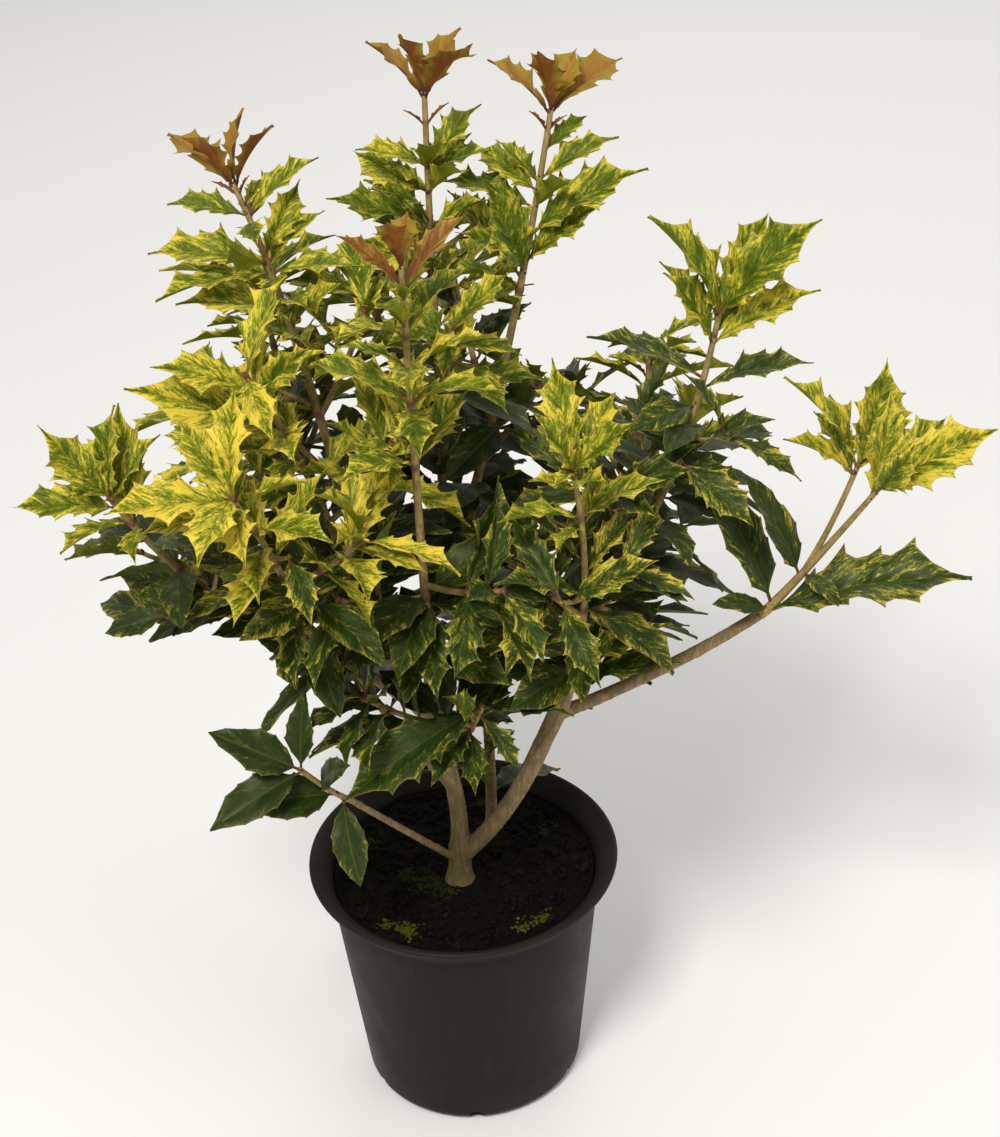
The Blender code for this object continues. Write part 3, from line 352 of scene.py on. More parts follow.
class Leaf(NamedTuple):
    """One leaf: where it grows, the way it goes, its upward side, sizes, and its twig's radius."""

    base: Vector
    along: Vector
    up: Vector
    length: float
    width: float
    bend: float
    fold: float
    spiny: bool
    stem_radius: float


def through(start, middle, end, pieces):
    """Points of a parabola that starts at one point, passes a second and ends at a third."""
    pull = 2 * middle - (start + end) / 2
    points = []
    for i in range(pieces + 1):
        t = i / pieces
        points.append((1 - t) ** 2 * start + 2 * t * (1 - t) * pull + t * t * end)
    return points


def at_place(points, radii, place):
    """The point, direction and radius at a place from 0 to 1 along the points."""
    steps = [(b - a).length for a, b in zip(points, points[1:])]
    left = place * sum(steps)
    for i, step in enumerate(steps):
        if left <= step or i == len(steps) - 1:
            t = min(left / step, 1.0)
            direction = (points[i + 1] - points[i]).normalized()
            return points[i].lerp(points[i + 1], t), direction, radii[i] + (radii[i + 1] - radii[i]) * t
        left -= step
    raise ValueError("a limb needs at least two points")


def taper(root, tip, count):
    """Radii that fall evenly from the root to the tip."""
    return [root + (tip - root) * i / (count - 1) for i in range(count)]


def grow_limbs():
    """The points and radii of the trunk and of every limb, in millimetres.

    The trunk starts upright, so its foot is a level cut.
    """
    foot = Vector(TRUNK_FOOT)
    fork = Vector(TRUNK_FORK)
    points = [foot.lerp(fork, t) for t, _ in TRUNK_RADII]
    points[1].xy = foot.xy
    limbs = {"trunk": (points, [r for _, r in TRUNK_RADII])}
    for name, (parent, place, middle, tip, root_radius, tip_radius) in LIMBS.items():
        start, direction, _ = at_place(*limbs[parent], place)
        points = []
        if place == 1:
            points = [start + direction * GAP / MM]
            start = start + direction * 3
        points += through(start, Vector(middle), Vector(tip), LIMB_PIECES)
        limbs[name] = (points, taper(root_radius, tip_radius, len(points)))
    return limbs


def grow_stems(limbs):
    """For each mass, its stem and its twigs: points, radii, sides and leaf zones."""
    masses = {}
    for name, (bough, middle, tip, zones, twigs, _) in MASSES.items():
        end, direction, radius = at_place(*limbs[bough], 1)
        start = end + direction * 3
        points = [end + direction * GAP / MM] + through(start, Vector(middle), Vector(tip), LIMB_PIECES)
        radii = taper(radius, SHOOT_TIP_RADIUS, len(points))
        stems = [(points, radii, MASS_STEM_SIDES, zones)]
        for place, reach, twig_zones in twigs:
            root, along, _ = at_place(points, radii, place)
            reach = Vector(reach)
            sag = Vector((0, 0, TWIG_SAG * reach.length))
            twig = through(root, root + reach * 0.5 - sag, root + reach, TWIG_PIECES)
            stems.append((twig, taper(TWIG_RADIUS, SHOOT_TIP_RADIUS, len(twig)), TWIG_SIDES, twig_zones))
        masses[name] = stems
    return masses


def leaf_sections(leaf, clearance, start):
    """Places along midrib and margin, half width, lift and half thickness of each section."""
    thin = max(LEAF_THICKNESS * leaf.length, 0.5) / 2 + clearance
    sections = [(start, start, PETIOLE_HALF + clearance, 0, PETIOLE_HALF + clearance)]
    for along_rib, along_margin, half, lift in SPINY_ROWS if leaf.spiny else PLAIN_ROWS:
        sections.append((along_rib, along_margin, half * leaf.width + clearance, lift * leaf.width, thin))
    return sections


def leaf_shape(leaf, clearance=0.0, start=None):
    """Vertices and triangles of a leaf as a thin closed blade, or with some clearance round it.

    Without a start, the blade's root is sunk in the stem that it grows on.
    """
    if start is None:
        start = ROOT_DEPTH * leaf.stem_radius / leaf.length
    side = leaf.up.cross(leaf.along)
    verts = []
    for along_rib, along_margin, half, lift, thin in leaf_sections(leaf, clearance, start):
        middle, normal = on_midrib(leaf, along_rib)
        edge, edge_normal = on_midrib(leaf, along_margin)
        fold = leaf.fold if lift else 0
        out = side * half * math.cos(fold)
        rise = edge_normal * (half * math.sin(fold) + lift)
        verts += [edge + out + rise, middle - normal * thin, edge - out + rise, middle + normal * thin]
    tip = on_midrib(leaf, 1)[0]
    return verts + [tip], leaf_faces(len(verts) // 4)


def on_midrib(leaf, place):
    """The point at a place along the leaf's midrib, which bends as an arc, and its upward side."""
    angle = leaf.bend * place
    ahead = math.sin(angle) / leaf.bend * leaf.length
    down = (1 - math.cos(angle)) / leaf.bend * leaf.length
    point = leaf.base + leaf.along * ahead - leaf.up * down
    return point, leaf.up * math.cos(angle) + leaf.along * math.sin(angle)


def leaf_faces(sections):
    """Triangles of a leaf with that many four-sided sections and one tip."""
    faces = [(0, 1, 2), (0, 2, 3)]
    for first in range(0, 4 * (sections - 1), 4):
        for k in range(4):
            margin_first = k % 2 == 0
            a, b = first + k, first + (k + 1) % 4
            if margin_first:
                faces += [(a, a + 4, b), (b, a + 4, b + 4)]
            else:
                faces += [(a, a + 4, b + 4), (a, b + 4, b)]
    last = 4 * (sections - 1)
    tip = 4 * sections
    for k in range(4):
        faces.append((last + k, tip, last + (k + 1) % 4))
    return faces


def ring_shape(points, radii, sides):
    """Vertices and faces of a plain tube, for the tests that keep leaves off the limbs."""
    verts = []
    faces = []
    for i, (point, radius) in enumerate(zip(points, radii)):
        ahead = points[min(i + 1, len(points) - 1)] - points[max(i - 1, 0)]
        turn = ahead.to_track_quat("Z", "Y")
        for k in range(sides):
            angle = 2 * math.pi * k / sides
            verts.append(point + turn @ Vector((math.cos(angle), math.sin(angle), 0)) * radius)
        if i:
            for k in range(sides):
                a = (i - 1) * sides + k
                b = (i - 1) * sides + (k + 1) % sides
                faces.append((a, b, b + sides, a + sides))
    return verts, faces


class Space:
    """What already stands: the limbs and stems as one tree, and each leaf with its mass and sphere."""

    def __init__(self, tubes):
        verts = []
        faces = []
        for points, radii in tubes:
            tube_verts, tube_faces = ring_shape(points, radii, 6)
            faces += [tuple(i + len(verts) for i in face) for face in tube_faces]
            verts += tube_verts
        self.limbs = BVHTree.FromPolygons(verts, faces)
        self.leaves = []

    def takes(self, leaf, mass):
        """Adds the leaf if it stays clear of everything, and says whether it did.

        Leaf stalks may meet inside their own mass, where they are fused.
        """
        verts, faces = leaf_shape(leaf, LEAF_CLEARANCE, PETIOLE_END)
        rim = LIP_RADIUS / MM + 2
        for v in verts:
            if v.z < POT_HEIGHT / MM + 3 and v.x * v.x + v.y * v.y < rim * rim:
                return False
            if in_opening(v):
                return False
        blade = BVHTree.FromPolygons(verts, faces)
        if blade.overlap(self.limbs):
            return False
        verts, faces = leaf_shape(leaf, LEAF_CLEARANCE)
        whole = BVHTree.FromPolygons(verts, faces)
        centre = (verts[0] + verts[-1]) / 2
        reach = max((v - centre).length for v in verts)
        for other_blade, other_whole, other_mass, other_centre, other_reach in self.leaves:
            if (centre - other_centre).length < reach + other_reach:
                if blade.overlap(other_blade) or (mass != other_mass and whole.overlap(other_whole)):
                    return False
        self.leaves.append((blade, whole, mass, centre, reach))
        return True


def in_opening(point):
    """Whether the point hides or fills one of the openings."""
    eye = Vector(EYE)
    seen = eye + (point - eye) * eye.y / (eye.y - point.y)
    return any(left < seen.x < right and low < seen.z < high for left, right, low, high in OPENINGS)


def square_to(along, up):
    """The up direction made square to the leaf's own direction."""
    flat = up - along * along.dot(up)
    if flat.length < 1e-3:
        flat = along.orthogonal()
    return flat.normalized()


def place_leaf(rng, space, mass, kind, scale, place, base, stem, around, stem_radius):
    """One leaf at the base, turned a little at each try until it stands clear, or None.

    Leaves spread more the lower they are on their stem, and none starts steeply downward.
    """
    size, ratio, tilt, bend, fold, spiny = KINDS[kind]
    length = size * scale * rng.uniform(0.88, 1.12)
    for attempt in range(LEAF_TRIES):
        spread = 1 + 0.35 * attempt
        angle = math.radians(tilt + LOWER_SPREAD * (1 - place) + rng.uniform(-7, 7) * spread)
        turn = Matrix.Rotation(math.radians(rng.uniform(-12, 12) * spread), 3, stem)
        along = stem * math.cos(angle) + (turn @ around) * math.sin(angle)
        along = Vector((along.x, along.y, max(along.z, STEEPEST_ROOT))).normalized()
        roll = Matrix.Rotation(math.radians(rng.uniform(-14, 14)), 3, along)
        up = roll @ square_to(along, stem + Vector(LIGHT))
        arc = math.radians(bend * rng.uniform(0.7, 1.3))
        width = length * ratio * rng.uniform(0.92, 1.08)
        crease = math.radians(fold * rng.uniform(0.8, 1.2))
        leaf = Leaf(base, along, up, length, width, arc, crease, spiny, stem_radius)
        if space.takes(leaf, mass):
            return leaf
        length *= 0.98
    return None


def aim_leaf(rng, space, mass, kind, base, stem, reach, stem_radius):
    """One leaf from the base to a tip at that reach, moved a little at each try, or None."""
    _, ratio, _, bend, fold, spiny = KINDS[kind]
    for attempt in range(LEAF_TRIES):
        shift = Vector([rng.uniform(-1, 1) for _ in range(3)]) * 0.05 * attempt * reach.length
        chord = (reach + shift).normalized()
        arc = math.radians(bend)
        up = square_to(chord, stem + Vector(AIMED_LIGHT[kind]))
        along = chord * math.cos(arc / 2) + up * math.sin(arc / 2)
        up = up * math.cos(arc / 2) - chord * math.sin(arc / 2)
        length = reach.length * (arc / 2) / math.sin(arc / 2)
        leaf = Leaf(base, along, up, length, length * ratio, arc, math.radians(fold), spiny, stem_radius)
        if space.takes(leaf, mass):
            return leaf
    return None


def grow_leaves(limbs, masses):
    """The leaves of each mass, in opposite pairs that turn a quarter from node to node."""
    tubes = list(limbs.values())
    for stems in masses.values():
        tubes += [(points, radii) for points, radii, _, _ in stems]
    space = Space(tubes)
    leaves = {name: [] for name in masses}
    for name, stems in masses.items():
        rng = random.Random(f"{SEED} aimed {name}")
        for kind, place, reach, *twig in MASSES[name][-1]:
            points, radii, _, _ = stems[twig[0] if twig else 0]
            base, stem, radius = at_place(points, radii, min(place, last_node(points)))
            leaf = aim_leaf(rng, space, name, kind, base, stem, Vector(reach), radius)
            leaves[name].append((kind, leaf))
    for name, stems in masses.items():
        rng = random.Random(f"{SEED} {name}")
        for points, radii, _, zones in stems:
            for kind, pairs, first, last, scale, heading in zones:
                for pair in range(pairs):
                    place = min(first + (last - first) * pair / max(pairs - 1, 1), last_node(points))
                    base, stem, radius = at_place(points, radii, place)
                    level = square_to(stem, Vector((1, 0, 0)))
                    turn = math.radians(heading + 90 * pair + rng.uniform(-10, 10))
                    for half in (0, math.pi):
                        around = Matrix.Rotation(turn + half, 3, stem) @ level
                        leaf = place_leaf(rng, space, name, kind, scale, place, base, stem, around, radius)
                        leaves[name].append((kind, leaf))
    kept = {name: [(kind, leaf) for kind, leaf in pairs if leaf] for name, pairs in leaves.items()}
    return kept, space


def last_node(points):
    """The highest place on a stem where a leaf's root is still inside it."""
    return 1 - 1.6 / sum((b - a).length for a, b in zip(points, points[1:]))

# Finer growth: leaves between the pairs, on the boughs, on short spurs and under the cups.
FINE_SEED = 31
FINE_SCALE = 0.82
SPURS = 3
SPUR_REACH = (16, 26)
BOUGH_LEAF_START = 0.45
BOUGH_LEAF_STEP = 9
LEAFY_FROM = {"bough_back": 0.10, "bough_right_middle": 0.88}
BARE_BOUGHS = ("bough_far_right", "bough_low_left", "bough_low_front", "bough_low_back_right")
BARE_SHOOTS = ("mass_front", "mass_far_right", "mass_low_left")
CUP_ARCH = 0.50
CUP_WIDER = 1.2
CUP_FOLD = 0.55
# Fine leaves aimed at a tip: mass, number of its stem, kind, place, reach, and what the upper side faces.
FINE_AIMED = (
    ("mass_right_middle", 0, "middle", 0.25, (-66, -14, 22), (0, -0.5, 1)),
    ("mass_right_middle", 0, "old", 0.15, (-40, 10, 34), (0, -0.8, 0.6)),
    ("mass_back_right_tall", 0, "young", 0.83, (-24, -16, 26), (0, 0.5, 0.7)),
    ("mass_back_right_tall", 0, "young", 0.76, (14, -26, 22), (0.2, 0.5, 0.7)),
    ("mass_back_right_tall", 0, "young", 0.69, (-30, -22, 30), (0, 0.5, 0.7)),
    ("mass_back_tall", 0, "young", 0.80, (4, -24, 20), (0, -0.3, 0.9)),
    ("mass_back_tall", 0, "young", 0.74, (12, -26, 24), (0, 0.5, 0.7)),
    ("mass_back_tall", 0, "young", 0.66, (-24, -24, 26), (0, -0.3, 0.9)),
    ("mass_back_tall", 0, "young", 0.52, (-36, -14, 26), (0, -0.6, 0.6)),
    ("mass_left_tall", 0, "young", 0.70, (14, -28, 26), (0, -0.3, 0.9)),
    ("mass_left_tall", 0, "young", 0.58, (-12, -30, 26), (0, -0.6, 0.6)),
    ("mass_left_tall", 0, "young", 0.52, (30, -16, 28), (0, -0.6, 0.6)),
    ("mass_front", 0, "young", 0.84, (-6, -30, 22), (0, 0.5, 0.7)),
    ("mass_front", 0, "young", 0.62, (26, -22, 26), (0, -0.6, 0.6)),
    ("mass_front", 0, "young", 0.52, (-4, -34, 22), (0, 0.5, 0.7)),
    ("mass_left_middle", 0, "young", 0.90, (24, -16, 30), (0, -0.6, 0.6)),
    ("mass_left_tall", 0, "young", 0.94, (7, 16, 6), (0, -0.6, 0.6)),
    ("mass_left_tall", 0, "young", 0.82, (17, 11, 30), (0, -1, 0.3)),
    ("mass_left_tall", 0, "young", 0.80, (-11, -30, 23), (-0.5, -0.6, 0.5)),
    ("mass_back_right_tall", 0, "young", 0.80, (-27, 20, 14), (0, -0.6, 0.6)),
    ("mass_back_right_tall", 0, "young", 0.60, (-17, -20, 54), (0, -0.6, 0.6)),
    ("mass_back_right_tall", 0, "young", 0.58, (-31, 16, 37), (0, -0.3, 0.9)),
    ("mass_back_tall", 0, "young", 0.74, (-32, 14, 15), (0, -1, 0.3)),
    ("mass_back_tall", 0, "young", 0.64, (25, 28, 13), (0, -0.6, 0.6)),
    ("mass_back_tall", 0, "young", 0.60, (27, 9, 17), (0, -1, 0.3)),
    ("mass_back_tall", 0, "young", 0.60, (-42, 25, 9), (0.5, -0.6, 0.5)),
    ("mass_far_right", 1, "young", 0.90, (26, 28, 25), (0, -0.6, 0.6)),
    ("mass_far_left", 0, "young", 0.82, (-3, 23, 46), (0, -0.6, 0.6)),
    ("mass_far_left", 0, "old", 0.12, (-57, 25, 4), (0, -0.6, 0.6)),
)
# How yellow each mass is, from 0 to 1.
MASS_TONES = {
    "mass_back_tall": 0.25, "mass_back_right_tall": 0.2, "mass_left_tall": 0.4, "mass_front": 0.5,
    "mass_left_middle": 0.75, "mass_left_front": 0.9, "mass_far_left": 0.6, "mass_far_right": 0.75,
    "mass_right_tall": 0.5, "mass_right_middle": 0.7, "mass_low_left": 0.2, "mass_low_front": 0.3,
}
CUP_LEAFLETS = {"mass_left_tall": 0.965, "mass_back_tall": 0.915, "mass_back_right_tall": 0.945}
LEAFLET_LENGTH = (11, 15)
LEAFLET_RISE = 1.5

# Limb and shoot meshes.
WOOD_STEP = 1.4
WOOD_SIDES = 16
ROOT_FLARE = 0.30
SHOOT_STEP = 1.1
NODE_SWELL = 0.26
NODE_SWELL_LENGTH = 1.9

# Pot mesh.
POT_TURN = 128
POT_FLARE_STEPS = 12

# Soil: relief, crumbs, chips and moss spots as places, size and count of tufts, in millimetres.
SOIL_SEED = 5
SOIL_LUMP = 2.2 * MM
SOIL_TURN = 120
SOIL_MESH_RINGS = 46
CRUMBS = 620
CHIPS = 40
MOSS_SPOTS = {
    "moss_in_shade": (
        (-17, -12, 12, 150), (-8, -19, 7, 60), (-28, -4, 9, 50), (52, 40, 7, 30), (40, 24, 8, 30), (-46, 22, 8, 30),
        (8, 48, 9, 40),
    ),
    "moss_in_light": ((-27, -45, 8, 70), (-37, -42, 6, 36), (28, -46, 7, 50), (37, -40, 6, 36)),
}
MOSS_SHADE = 0.28

# Camera and lamps: places, sizes in metres and powers in watts.
CAMERA_AIM = (0.0244, 0, 0.2892)
CAMERA_DISTANCE = 1.0
CAMERA_RISE = 32.28
CAMERA_ROLL = -2.71
CAMERA_FOCAL_PX = 2234
LAMPS = (
    ("key_lamp", (-0.5, -1.35, 2.2), 0.6, 42),
    ("side_lamp", (1.6, -0.9, 1.1), 1.4, 7),
    ("back_lamp", (0.4, 1.6, 1.5), 1.4, 8),
)
LAMP_AIM = (0, 0, 0.27)
LAMP_COLOUR = (1.0, 0.97, 0.91)
FILL_COLOUR = (1.0, 0.99, 0.97, 1)

# Leaf pieces: triangles of a leaf, and the most in one piece.
LEAF_TRIANGLES = 1050
PIECE_TRIANGLES = 180000
LEAF_SHARP_ANGLE = 62

# Leaf meshes: narrowing, twist in radians and wave over width, and places across each half.
LEAF_NARROWER = (0.84, 1.03)
LEAF_TWIST = 0.35
LEAF_WAVE = 0.028
ACROSS = (0.0, 0.30, 0.62, 0.88, 1.0)


class Tooth(NamedTuple):
    """One tooth of a leaf's margin: places along margin and midrib, reach and lift over width."""

    margin: float
    rib: float
    reach: float
    lift: float


SPINY_TEETH = (
    Tooth(0.28, 0.22, 0.33, -0.03), Tooth(0.44, 0.36, 0.49, 0.09), Tooth(0.59, 0.51, 0.50, -0.04),
    Tooth(0.74, 0.66, 0.40, 0.08),
)
PLAIN_TEETH = (
    Tooth(0.24, 0.21, 0.36, 0.00), Tooth(0.40, 0.36, 0.50, 0.02), Tooth(0.56, 0.52, 0.49, -0.01),
    Tooth(0.71, 0.67, 0.40, 0.03), Tooth(0.86, 0.82, 0.22, 0.00),
)
CUP_TEETH = (
    Tooth(0.34, 0.30, 0.24, 0.00), Tooth(0.50, 0.44, 0.44, 0.05), Tooth(0.65, 0.58, 0.50, -0.03),
    Tooth(0.80, 0.72, 0.34, 0.05),
)
TEETH = {
    "old": PLAIN_TEETH, "middle": SPINY_TEETH, "young": SPINY_TEETH, "copper": SPINY_TEETH, "bronze": CUP_TEETH,
}
NOTCH = {"young": 0.42, "middle": 0.34, "copper": 0.36, "bronze": 0.40, "old": 0.10}
# Between one tooth and the next: the row's place, how far the margin has come, and its sag.
SAWTOOTH = ((0.0, 0.0, 0.0), (0.12, 0.00, 0.72), (0.32, 0.26, 1.0), (0.62, 0.60, 0.74), (0.86, 0.87, 0.30))


class GrownLeaf(NamedTuple):
    """A leaf with its kind and its tone, from 0 for green to 1 for the brightest."""

    kind: str
    leaf: Leaf
    tone: float


@functools.cache
def grow_plant():
    """Limbs, stems of the masses, fine spurs, and all leaves: those of the solids and finer ones."""
    limbs = grow_limbs()
    masses = grow_stems(limbs)
    tubes = list(limbs.values())
    for stems in masses.values():
        tubes += [(points, radii) for points, radii, _, _ in stems]
    leaves, space = grow_leaves(limbs, masses)
    rng = random.Random(FINE_SEED)
    grown = []
    for name, pairs in leaves.items():
        grown += [GrownLeaf(kind, arched(kind, leaf), tone_of(rng, name)) for kind, leaf in pairs]
    for name, twig, kind, place, reach, facing in FINE_AIMED:
        points, radii, _, _ = masses[name][twig]
        base, _, radius = at_place(points, radii, min(place, last_node(points)))
        light = Vector(facing) - Vector(AIMED_LIGHT[kind])
        leaf = aim_leaf(rng, space, name, kind, base, light, Vector(reach), radius)
        if leaf:
            grown.append(GrownLeaf(kind, leaf, tone_of(rng, name)))
    for name, place in CUP_LEAFLETS.items():
        points, radii, _, _ = masses[name][0]
        grown += leaflets(rng, *at_place(points, radii, place))
    spurs = []
    for name, stems in masses.items():
        for number, (points, radii, _, zones) in enumerate(stems):
            grown += fill_zones(rng, space, name, points, radii, zones)
            if number == 0 and name not in BARE_SHOOTS:
                spurs += grow_spurs(rng, space, name, points, radii, grown)
    for name, (points, radii) in limbs.items():
        if name.startswith("bough") and name not in BARE_BOUGHS:
            grown += dress_bough(rng, space, name, points, radii)
    return limbs, masses, spurs, grown


def tone_of(rng, mass):
    """A leaf's tone: its mass's own, and some chance."""
    return 0.6 * MASS_TONES.get(mass, 0.5) + 0.4 * rng.random()


def arched(kind, leaf):
    """A cup's leaf with the same base and tip whose blade arches outward."""
    if kind != "bronze":
        return leaf
    turn = Matrix.Rotation((leaf.bend - CUP_ARCH) / 2, 3, leaf.up.cross(leaf.along))
    longer = (math.sin(leaf.bend / 2) / leaf.bend) / (math.sin(CUP_ARCH / 2) / CUP_ARCH)
    return leaf._replace(along=turn @ leaf.along, up=turn @ leaf.up, bend=CUP_ARCH, length=leaf.length * longer)


def leaflets(rng, base, stem, radius):
    """A pair of small new leaves close to the stem, just under a cup."""
    made = []
    turn = rng.uniform(-0.5, 0.5)
    for half in (0, math.pi):
        around = Matrix.Rotation(turn + half, 3, stem) @ square_to(stem, Vector((1, 0, 0)))
        along = (stem * LEAFLET_RISE + around).normalized()
        up = square_to(along, stem)
        length = rng.uniform(*LEAFLET_LENGTH)
        leaf = Leaf(base, along, up, length, 0.34 * length, 0.5, 0.5, True, radius)
        made.append(GrownLeaf("copper", leaf, rng.random()))
    return made


def pair_at(rng, space, mass, kind, scale, points, radii, place, heading):
    """An opposite pair of leaves at a place on a stem, each kept only where it stands clear."""
    base, stem, radius = at_place(points, radii, min(place, last_node(points)))
    level = square_to(stem, Vector((1, 0, 0)))
    turn = math.radians(heading)
    made = []
    for half in (0, math.pi):
        around = Matrix.Rotation(turn + half, 3, stem) @ level
        leaf = place_leaf(rng, space, mass, kind, scale, place, base, stem, around, radius)
        if leaf:
            made.append(GrownLeaf(kind, leaf, tone_of(rng, mass)))
    return made


def fill_zones(rng, space, mass, points, radii, zones):
    """Leaves between the pairs of each zone, turned so that they fall in the gaps."""
    made = []
    for kind, pairs, first, last, scale, heading in zones:
        step = (last - first) / max(pairs - 1, 1)
        for pair in range(pairs):
            place = first + step * (pair + 0.5) if pairs > 1 else first - 0.05
            if place > 0.99:
                place = last - step * 0.3
            way = heading + 90 * pair + 45 + rng.uniform(-14, 14)
            size = scale * FINE_SCALE * rng.uniform(0.8, 1.1)
            made += pair_at(rng, space, mass, kind, size, points, radii, max(place, 0.03), way)
    return made


def grow_spurs(rng, space, mass, points, radii, grown):
    """Short side twigs on a mass's own stem, each with two pairs of leaves."""
    made = []
    for number in range(SPURS):
        place = 0.12 + 0.5 * (number + rng.random()) / SPURS
        base, stem, radius = at_place(points, radii, place)
        around = Matrix.Rotation(rng.uniform(0, 2 * math.pi), 3, stem) @ square_to(stem, Vector((1, 0, 0)))
        way = (stem * 0.6 + around).normalized()
        reach = rng.uniform(*SPUR_REACH)
        spur = through(base, base + way * reach * 0.5 - Vector((0, 0, 1.5)), base + way * reach, TWIG_PIECES)
        widths = taper(1.2, 0.8, len(spur))
        kind = "middle" if place > 0.4 else "old"
        found = []
        for pair in range(2):
            found += pair_at(rng, space, mass, kind, 0.72, spur, widths, 0.55 + 0.45 * pair, 90 * pair + 30)
        if found:
            made.append((spur, widths))
            grown += found
    return made


def dress_bough(rng, space, name, points, radii):
    """Dark leaves on a bough's outer half, in the shade of the crown."""
    length = sum((b - a).length for a, b in zip(points, points[1:]))
    start = LEAFY_FROM.get(name, BOUGH_LEAF_START)
    made = []
    pairs = int(length * (1 - start) / BOUGH_LEAF_STEP)
    for pair in range(pairs):
        place = start + (0.97 - start) * (pair + rng.random() * 0.6) / max(pairs, 1)
        made += pair_at(rng, space, name, "old", rng.uniform(0.7, 0.95), points, radii, place, rng.uniform(0, 180))
    return made


def add_piece(name, mesh, nodes):
    """A finished piece: it rides on the root and stands for CAD nodes, which it hides."""
    piece = bpy.data.objects.new(name, mesh)
    bpy.context.scene.collection.objects.link(piece)
    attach(piece, "root")
    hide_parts(*nodes)
    return piece


def mass_nodes():
    """The names of the CAD nodes of the masses."""
    return sorted(MASSES)


def limb_nodes():
    """The names of the CAD nodes of the trunk and the limbs."""
    return ["trunk", *LIMBS]


# Materials.


def add_node(tree, kind, **values):
    """A shader node whose sockets take numbers, colours or links by name."""
    item = tree.nodes.new(kind)
    for key, value in values.items():
        put(tree, item.inputs[key.replace("_", " ")], value)
    return item


def put(tree, socket, value):
    """Gives a socket a link or its own value."""
    if isinstance(value, bpy.types.NodeSocket):
        tree.links.new(value, socket)
    elif socket.type == "RGBA":
        socket.default_value = (*value, 1)
    else:
        socket.default_value = value


def maths(tree, operation, *values, clamp=False):
    """A Math node's result."""
    item = tree.nodes.new("ShaderNodeMath")
    item.operation = operation
    item.use_clamp = clamp
    for socket, value in zip(item.inputs, values):
        put(tree, socket, value)
    return item.outputs[0]


def blend(tree, amount, first, second, how="MIX"):
    """Two colours mixed by an amount."""
    item = tree.nodes.new("ShaderNodeMix")
    item.data_type = "RGBA"
    item.blend_type = how
    put(tree, item.inputs[0], amount)
    put(tree, item.inputs[6], first)
    put(tree, item.inputs[7], second)
    return item.outputs[2]


def spread(tree, value, low, high, to_low=0.0, to_high=1.0):
    """A value mapped from one range to another and clamped."""
    item = add_node(tree, "ShaderNodeMapRange", Value=value)
    for name, number in (("From Min", low), ("From Max", high), ("To Min", to_low), ("To Max", to_high)):
        item.inputs[name].default_value = number
    return item.outputs[0]


def ramp(tree, value, stops):
    """Colours along a ramp at their places."""
    item = add_node(tree, "ShaderNodeValToRGB", Fac=value)
    marks = item.color_ramp.elements
    while len(marks) < len(stops):
        marks.new(0.5)
    for mark, (place, colour) in zip(marks, stops):
        mark.position = place
    for mark, (place, colour) in zip(marks, stops):
        mark.color = (*colour, 1)
    return item.outputs[0]


def noise_value(tree, vector, scale, detail=4.0, roughness=0.55, distortion=0.0):
    """A noise texture's value."""
    item = add_node(tree, "ShaderNodeTexNoise", Vector=vector, Scale=scale, Detail=detail)
    item.inputs["Roughness"].default_value = roughness
    item.inputs["Distortion"].default_value = distortion
    return item.outputs[0]


def start_material(name, roughness):
    """A material with its node tree and Principled shader."""
    material = bpy.data.materials.new(name)
    material.use_nodes = True
    tree = material.node_tree
    shader = tree.nodes["Principled BSDF"]
    shader.inputs["Roughness"].default_value = roughness
    return material, tree, shader


def bump(tree, shader, height, strength, distance):
    """Relief from a height, in metres of distance."""
    item = add_node(tree, "ShaderNodeBump", Height=height, Strength=strength, Distance=distance)
    tree.links.new(item.outputs[0], shader.inputs["Normal"])


def object_place(tree):
    """Object coordinates, in metres."""
    return tree.nodes.new("ShaderNodeTexCoord").outputs["Object"]


def attribute(tree, name):
    """The value of a mesh's own number attribute."""
    item = tree.nodes.new("ShaderNodeAttribute")
    item.attribute_name = name
    return item.outputs["Fac"]


def leaf_place(tree):
    """Distances along and across a leaf in millimetres, its own number, its tone, and the edge."""
    item = tree.nodes.new("ShaderNodeAttribute")
    item.attribute_name = "leaf_place"
    parts = add_node(tree, "ShaderNodeSeparateXYZ", Vector=item.outputs["Vector"])
    across = maths(tree, "ABSOLUTE", parts.outputs[1])
    tone, edge = attribute(tree, "leaf_tone"), attribute(tree, "leaf_edge")
    return parts.outputs[0], across, parts.outputs[2], tone, parts.outputs[1], edge


# Marbling: place on the noise, share of yellow in the green, and brightness.
MARBLING = {
    # The old leaves' second stop, olive and brighter, is partly marbling and partly a painted olive-brown sheen.
    "old": ((0.0, 0.0, 0.60), (0.46, 0.12, 0.90), (0.62, 0.38, 0.72), (0.71, 0.75, 0.58), (0.84, 1.0, 0.64)),
    "middle": ((0.0, 0.0, 0.70), (0.44, 0.14, 1.05), (0.59, 0.45, 0.90), (0.68, 0.80, 0.78), (0.80, 1.0, 0.86)),
    "young": ((0.0, 0.04, 0.60), (0.32, 0.24, 0.95), (0.46, 0.48, 1.0), (0.58, 0.78, 1.0), (0.70, 1.0, 1.06)),
    "copper": ((0.0, 0.0, 0.45), (0.36, 0.30, 0.60), (0.52, 0.60, 0.75), (0.66, 1.0, 0.85)),
    "bronze": ((0.0, 0.40, 0.80), (0.42, 0.60, 0.95), (0.60, 0.85, 1.0), (0.78, 1.0, 1.0)),
}
